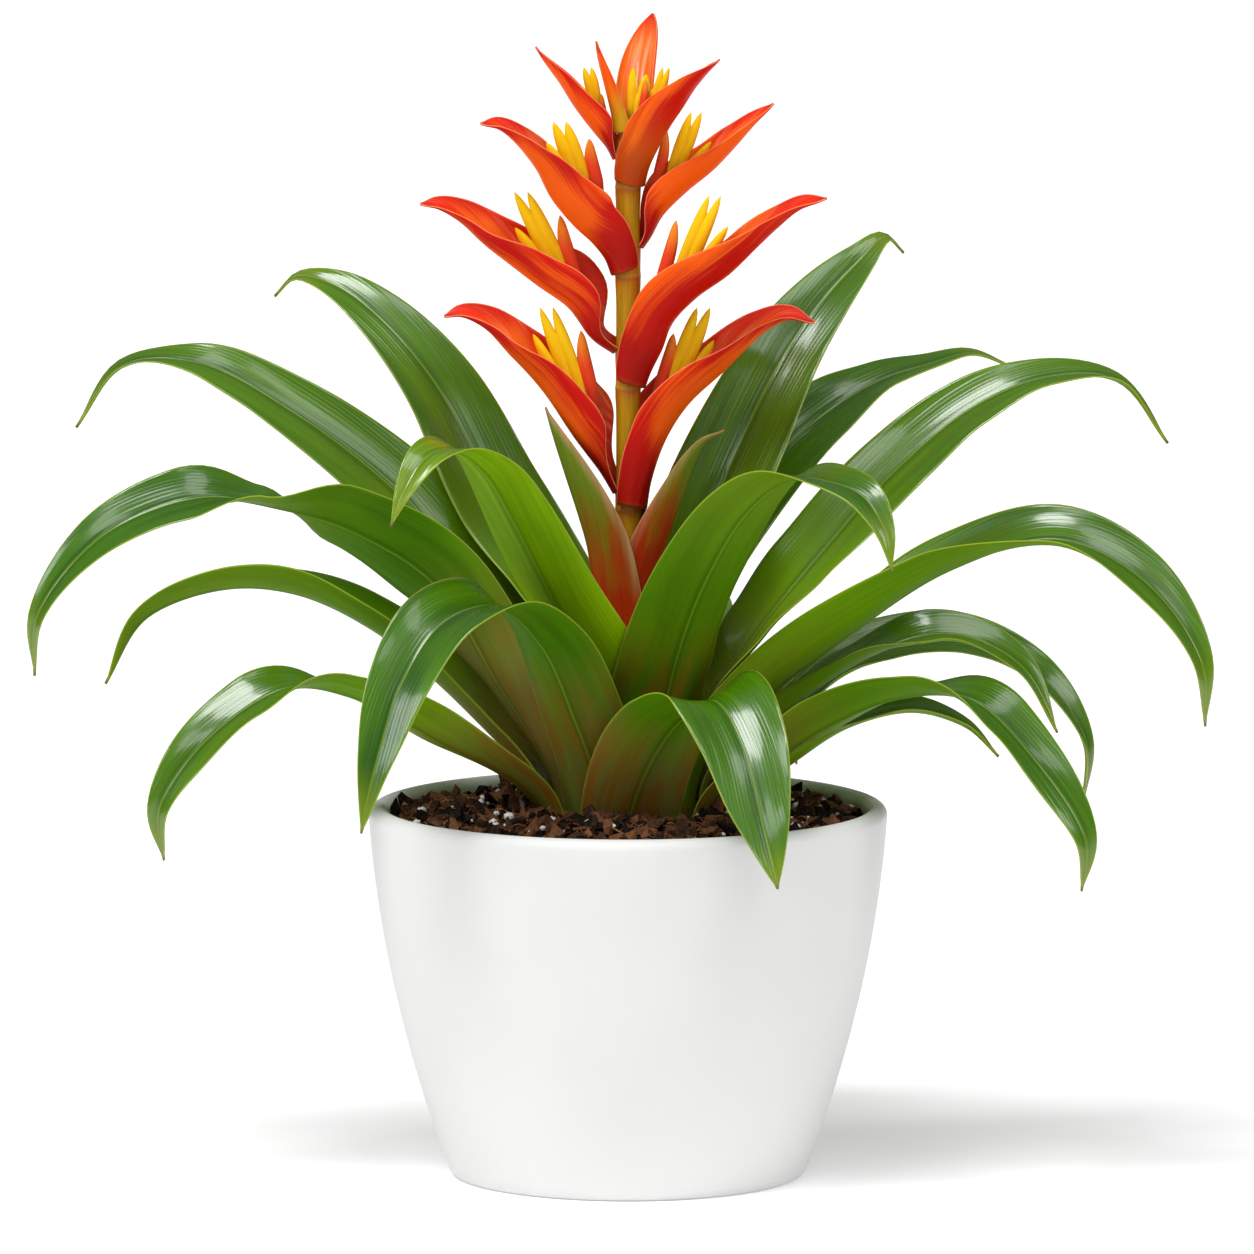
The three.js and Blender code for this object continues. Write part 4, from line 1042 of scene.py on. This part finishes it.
def make_fibres(material):
    """Thin bent strands that lie among the chips."""
    rng = random.Random(SOIL_SEED + 2)
    fibres = Bundle()
    for number in range(FIBRE_COUNT):
        reach, azimuth = scattered(rng)
        middle = at(reach, float(soil_height(reach)) + 0.2 + 1.2 * rng.random(), azimuth)
        points = fibre_shape(rng, middle, number)
        fibres.add(points, tube_faces(6, 4), [(0.5 + 0.5 * rng.random(), 0, 0)] * len(points))
    piece = new_piece("soil_fibres", keep_inside(fibres.vertices), fibres.faces, [material], None)
    add_values(piece, "place", fibres.values)


def grain_shape(rng, radius):
    """A rounded lump: a ball of 6 by 4 points with uneven radii."""
    points = [(0, 0, -radius * 0.8)]
    for row in range(1, 4):
        for i in range(6):
            lift = math.pi * row / 4
            angle = 2 * math.pi * (i + 0.5 * (row % 2)) / 6
            size = radius * (0.75 + 0.45 * rng.random())
            points.append((size * math.sin(lift) * math.cos(angle), size * math.sin(lift) * math.sin(angle),
                           -0.8 * size * math.cos(lift)))
    points.append((0, 0, radius * 0.8))
    faces = [(0, 1 + (i + 1) % 6, 1 + i) for i in range(6)]
    for row in range(2):
        for i in range(6):
            a, b = 1 + 6 * row + i, 1 + 6 * row + (i + 1) % 6
            faces.append((a, b, b + 6, a + 6))
    faces += [(13 + i, 13 + (i + 1) % 6, 19) for i in range(6)]
    return points, faces


def make_perlite():
    """White grains that lie on the soil."""
    rng = random.Random(SOIL_SEED + 3)
    grains = Bundle()
    for _ in range(PERLITE_COUNT):
        reach, azimuth = scattered(rng)
        radius = 0.5 + 1.6 * rng.random() ** 2
        points, faces = grain_shape(rng, radius)
        place = at(reach, float(soil_height(reach)) + 0.4 + 1.0 * rng.random(), azimuth)
        grains.add(keep_inside(turned(points, rng, 1.5, place)), faces)
    new_piece("soil_perlite", grains.vertices, grains.faces, [perlite_material()], None)


def make_soil():
    bark = soil_material("soil_bark", (0.006, 0.0025, 0.0015), (0.24, 0.095, 0.04), 520, 0.7)
    bed = soil_material("soil_fines", (0.006, 0.003, 0.002), (0.06, 0.02, 0.01), 420, 0.8)
    fibre = soil_material("soil_strands", (0.12, 0.04, 0.015), (0.42, 0.18, 0.07), 300, 0.7)
    make_soil_bed(bed)
    make_chips(bark)
    make_fibres(fibre)
    make_perlite()


# Stem

def make_core(material):
    """The short hidden stem that carries the rosette."""
    outline = [[0, CORE_BOTTOM], [CORE_RADIUS + 3, CORE_BOTTOM]]
    for i in range(9):
        radius = lerp(CORE_RADIUS + 2, CORE_RADIUS - 0.6, i / 8)
        outline.append([radius, lerp(CORE_BOTTOM + 8, CORE_TOP, i / 8)])
    outline.append([0, CORE_TOP])
    vertices, faces = lathe(outline, STEM_SIDES)
    piece = new_piece("core", vertices, faces, [material], "core_stem")
    add_values(piece, "place", np.zeros((len(vertices), 3)))


def stem_profile(height, nodes):
    """Radius, ring and blush at a height. A node is a little thicker, with a raised ring at its top."""
    radius, ring, blush = STEM_RADIUS, 0.0, 0.0
    for node in nodes:
        below = node - NODE_DROP - height
        radius += (STEM_NODE_RADIUS - STEM_RADIUS) * math.exp(-((below - 1.5) / 4.5) ** 2)
        ring = max(ring, math.exp(-(below / 0.45) ** 2))
        if below > 0:
            blush = max(blush, 0.75 * math.exp(-below / 3.5))
    radius = min(radius, STEM_NODE_RADIUS) + RING_HEIGHT * ring
    return radius - 0.9 * float(smoothstep(height, STEM_TOP - 12, STEM_TOP)), ring, blush


def make_stem(material):
    """The flower stem, with a node at the foot of each bract and one among the scape bracts."""
    nodes = [SCAPE_NODE_HEIGHT] + [bract["path"][0][1] for bract in BRACTS]
    bottom = CORE_TOP + SOIL_GAP
    outline, values = [[0, bottom]], [(0, 0, 0)]
    for i in range(STEM_STEPS + 1):
        height = lerp(bottom, STEM_TOP, i / STEM_STEPS)
        radius, ring, blush = stem_profile(height, nodes)
        outline.append([radius, height])
        values.append((ring, blush, 0))
    outline.append([0, STEM_TOP])
    values.append((0, 0, 0))
    vertices, faces = lathe(outline, STEM_SIDES)
    piece = new_piece("stem", vertices, faces, [material], "flower_stem")
    counts = [1] + [STEM_SIDES] * (STEM_STEPS + 1) + [1]
    add_values(piece, "place", np.repeat(values, counts, axis=0))


# Florets

def petal(root, tip, width, depth, sideways, bow, seed, hook=0.0):
    """A slim pointed petal from root to tip: a flattened tube that bows towards sideways."""
    steps, sides = 22, 12
    root, tip, sideways = (np.asarray(v, float) for v in (root, tip, sideways))
    axis = unit(tip - root)
    length = float(np.linalg.norm(tip - root))
    sideways = unit(sideways - axis * np.dot(sideways, axis))
    facing = np.cross(axis, sideways)
    vertices, values = [], []
    for i in range(steps + 1):
        s = i / steps
        lean = bow * math.sin(math.pi * s) + hook * float(smoothstep(s, 0.6, 1)) ** 2
        centre = root + axis * (length * s) + sideways * lean
        fullness = (0.5 + 0.5 * float(smoothstep(s, 0, 0.4))) * (1 - s ** 5) ** 0.7
        for k in range(sides):
            angle = 2 * math.pi * k / sides
            keel = 1 + 0.12 * math.cos(2 * angle)
            vertices.append(centre + sideways * (max(width * fullness, 0.1) * math.cos(angle) * keel)
                            + facing * (max(depth * fullness, 0.1) * math.sin(angle)))
            values.append((math.cos(angle), s, 1, width * angle, length * s, seed))
    return vertices, tube_faces(steps + 1, sides), values


def make_petals(name, petals, material, replaces):
    bundle = Bundle()
    for part in petals:
        bundle.add(*part)
    piece = new_piece(name, bundle.vertices, bundle.faces, [material], replaces)
    values = np.array(bundle.values)
    add_values(piece, "place", values[:, :3])
    add_values(piece, "ruler", values[:, 3:])


def make_floret(floret, yellow, red, number):
    """Three petals and one sepal, in the plane of their bract."""
    base, azimuth, size = floret["base"], floret["azimuth"], floret["size"]

    def spot(pair, side=0.0):
        return at(pair[0] + side, base + pair[1], azimuth)

    outward = at(1, 0, azimuth)
    shift = outward * 0.6 * size
    width = 2.3 * size
    flat = width * 0.7
    part = 2.2 * size
    root = spot(floret["root"])
    near = lerp(root, spot(floret["tall"]), 0.12)
    petals = [
        petal(root - shift, spot(floret["tall"], -part), width, flat, outward, -0.3, number),
        petal(root + shift, spot(floret["tall"], part), width, flat, outward, -0.2, number + 0.3),
        petal(near, spot(floret["short"]), width * 0.9, flat, outward, 0.5, number + 0.6),
    ]
    sepal = petal(spot(floret["calyx_root"]), spot(floret["calyx"]), width, flat, outward, 0.3,
                  number + 0.8, -0.6 * size)
    digit = floret["bract"].replace("bract_", "")
    make_petals("petals_" + digit, petals, yellow, "florets_" + digit)
    make_petals("sepals_" + digit, [sepal], red, "calyx_" + digit)


def make_top_buds(yellow, pale):
    """Young buds that fill the top bract, and two fine filaments above them."""
    buds = []
    for number, (x, z, width) in enumerate(TOP_BUDS):
        root = np.array([0.3 * x + 0.8, -1.5, BUD_ROOT_HEIGHT])
        buds.append(petal(root, (x, -3 - 0.2 * x, z), width, width * 0.7, at(1, 0, 0), 0.4, number + 20))
    make_petals("petals_top", buds, yellow, None)
    filaments = []
    for number, (x, z) in enumerate(FILAMENTS):
        filaments.append(petal((x - 1, -3, z - 16), (x, -4, z), 0.22, 0.22, at(1, 0, -90), 0.2,
                               number + 30))
    make_petals("filaments_top", filaments, pale, None)


# Stage

def make_camera():
    data = bpy.data.cameras.new("camera")
    data.sensor_width = SENSOR_WIDTH
    data.lens = SENSOR_WIDTH * FOCAL_PIXELS / PHOTO_SIZE
    data.shift_x = -(CENTRE_COLUMN - PHOTO_SIZE / 2) / PHOTO_SIZE
    data.clip_end = 100
    camera = bpy.data.objects.new("camera", data)
    camera.location = (0, -CAMERA_DISTANCE, CAMERA_HEIGHT)
    camera.rotation_euler = (math.radians(90 - CAMERA_PITCH), 0, 0)
    bpy.context.scene.collection.objects.link(camera)
    bpy.context.scene.camera = camera


def make_sun(name, azimuth, elevation, strength, spread):
    """A wide, even light from far away, which acts as a large softbox."""
    data = bpy.data.lights.new(name, "SUN")
    data.energy = strength
    data.angle = math.radians(spread)
    light = bpy.data.objects.new(name, data)
    a, e = math.radians(azimuth), math.radians(elevation)
    direction = Vector((math.cos(e) * math.cos(a), math.cos(e) * math.sin(a), math.sin(e)))
    light.rotation_euler = direction.to_track_quat("Z", "Y").to_euler()
    bpy.context.scene.collection.objects.link(light)


def make_floor():
    mesh = bpy.data.meshes.new("floor")
    half = FLOOR_HALF_WIDTH
    mesh.from_pydata([(-half, -half, 0), (half, -half, 0), (half, half, 0), (-half, half, 0)], [],
                     [(0, 1, 2, 3)])
    g = Graph("floor_white")
    grain = g.noise(g.own_place(), 60, 2)
    mesh.materials.append(g.finish(g.mix(grain, (0.93, 0.93, 0.93), (0.96, 0.96, 0.96)), 0.7,
                                   Specular_IOR_Level=0.1, Emission_Color=(1, 1, 1, 1),
                                   Emission_Strength=FLOOR_GLOW))
    floor = bpy.data.objects.new("floor", mesh)
    floor.location = (0, 0, -FLOOR_DROP)
    bpy.context.scene.collection.objects.link(floor)


def make_light():
    world = bpy.data.worlds.new("studio")
    world.use_nodes = True
    tree = world.node_tree
    direction = tree.nodes.new("ShaderNodeTexCoord")
    parts = tree.nodes.new("ShaderNodeSeparateXYZ")
    sky = tree.nodes.new("ShaderNodeMapRange")
    tree.links.new(direction.outputs["Generated"], parts.inputs[0])
    tree.links.new(parts.outputs["Z"], sky.inputs["Value"])
    sky.inputs["To Min"].default_value = HORIZON_LIGHT
    sky.inputs["To Max"].default_value = ZENITH_LIGHT
    background = tree.nodes["Background"]
    background.inputs["Color"].default_value = (1, 1, 1, 1)
    tree.links.new(sky.outputs["Result"], background.inputs["Strength"])
    bpy.context.scene.world = world
    for name, azimuth, elevation, strength, spread in SUNS:
        make_sun(name, azimuth, elevation, strength, spread)
    bpy.context.scene.view_settings.view_transform = "Standard"


def main():
    make_camera()
    make_light()
    make_floor()
    make_pot()
    make_soil()
    stem = stem_material()
    make_core(stem)
    make_stem(stem)
    skins = [leaf_material(UPPER_SKIN), leaf_material(UNDER_SKIN)]
    for number, leaf in enumerate(LEAVES):
        make_blade(leaf, strap_section, LEAF_THICKNESS, LEAF_GRID, skins, number * SEED_STEP,
                   MIDRIB_DEPTH, 1)
    scape = [scape_material("scape_inner_skin", True), scape_material("scape_outer_skin", False)]
    for number, bract in enumerate(SCAPE_BRACTS):
        make_blade(bract, boat_section, BRACT_THICKNESS, BRACT_GRID, scape,
                   SCAPE_SEED + number * SEED_STEP, BRACT_RIDGE, 0)
    waxy = [bract_material("bract_inner_skin", True), bract_material("bract_outer_skin", False)]
    for number, bract in enumerate(BRACTS):
        make_blade(bract, boat_section, BRACT_THICKNESS, BRACT_GRID, waxy,
                   BRACT_SEED + number * SEED_STEP, BRACT_RIDGE, 0)
    yellow = petal_material("petal_yellow", (0.4, 0.26, 0.004), (0.9, 0.5, 0.004),
                            (0.98, 0.62, 0.006))
    red = petal_material("sepal_red", (0.6, 0.03, 0.01), (0.8, 0.06, 0.015), (0.85, 0.25, 0.02))
    for number, floret in enumerate(FLORETS):
        make_floret(floret, yellow, red, number + 1)
    pale = petal_material("filament_pale", (0.75, 0.6, 0.3), (0.8, 0.72, 0.5), (0.85, 0.83, 0.75))
    make_top_buds(yellow, pale)


main()
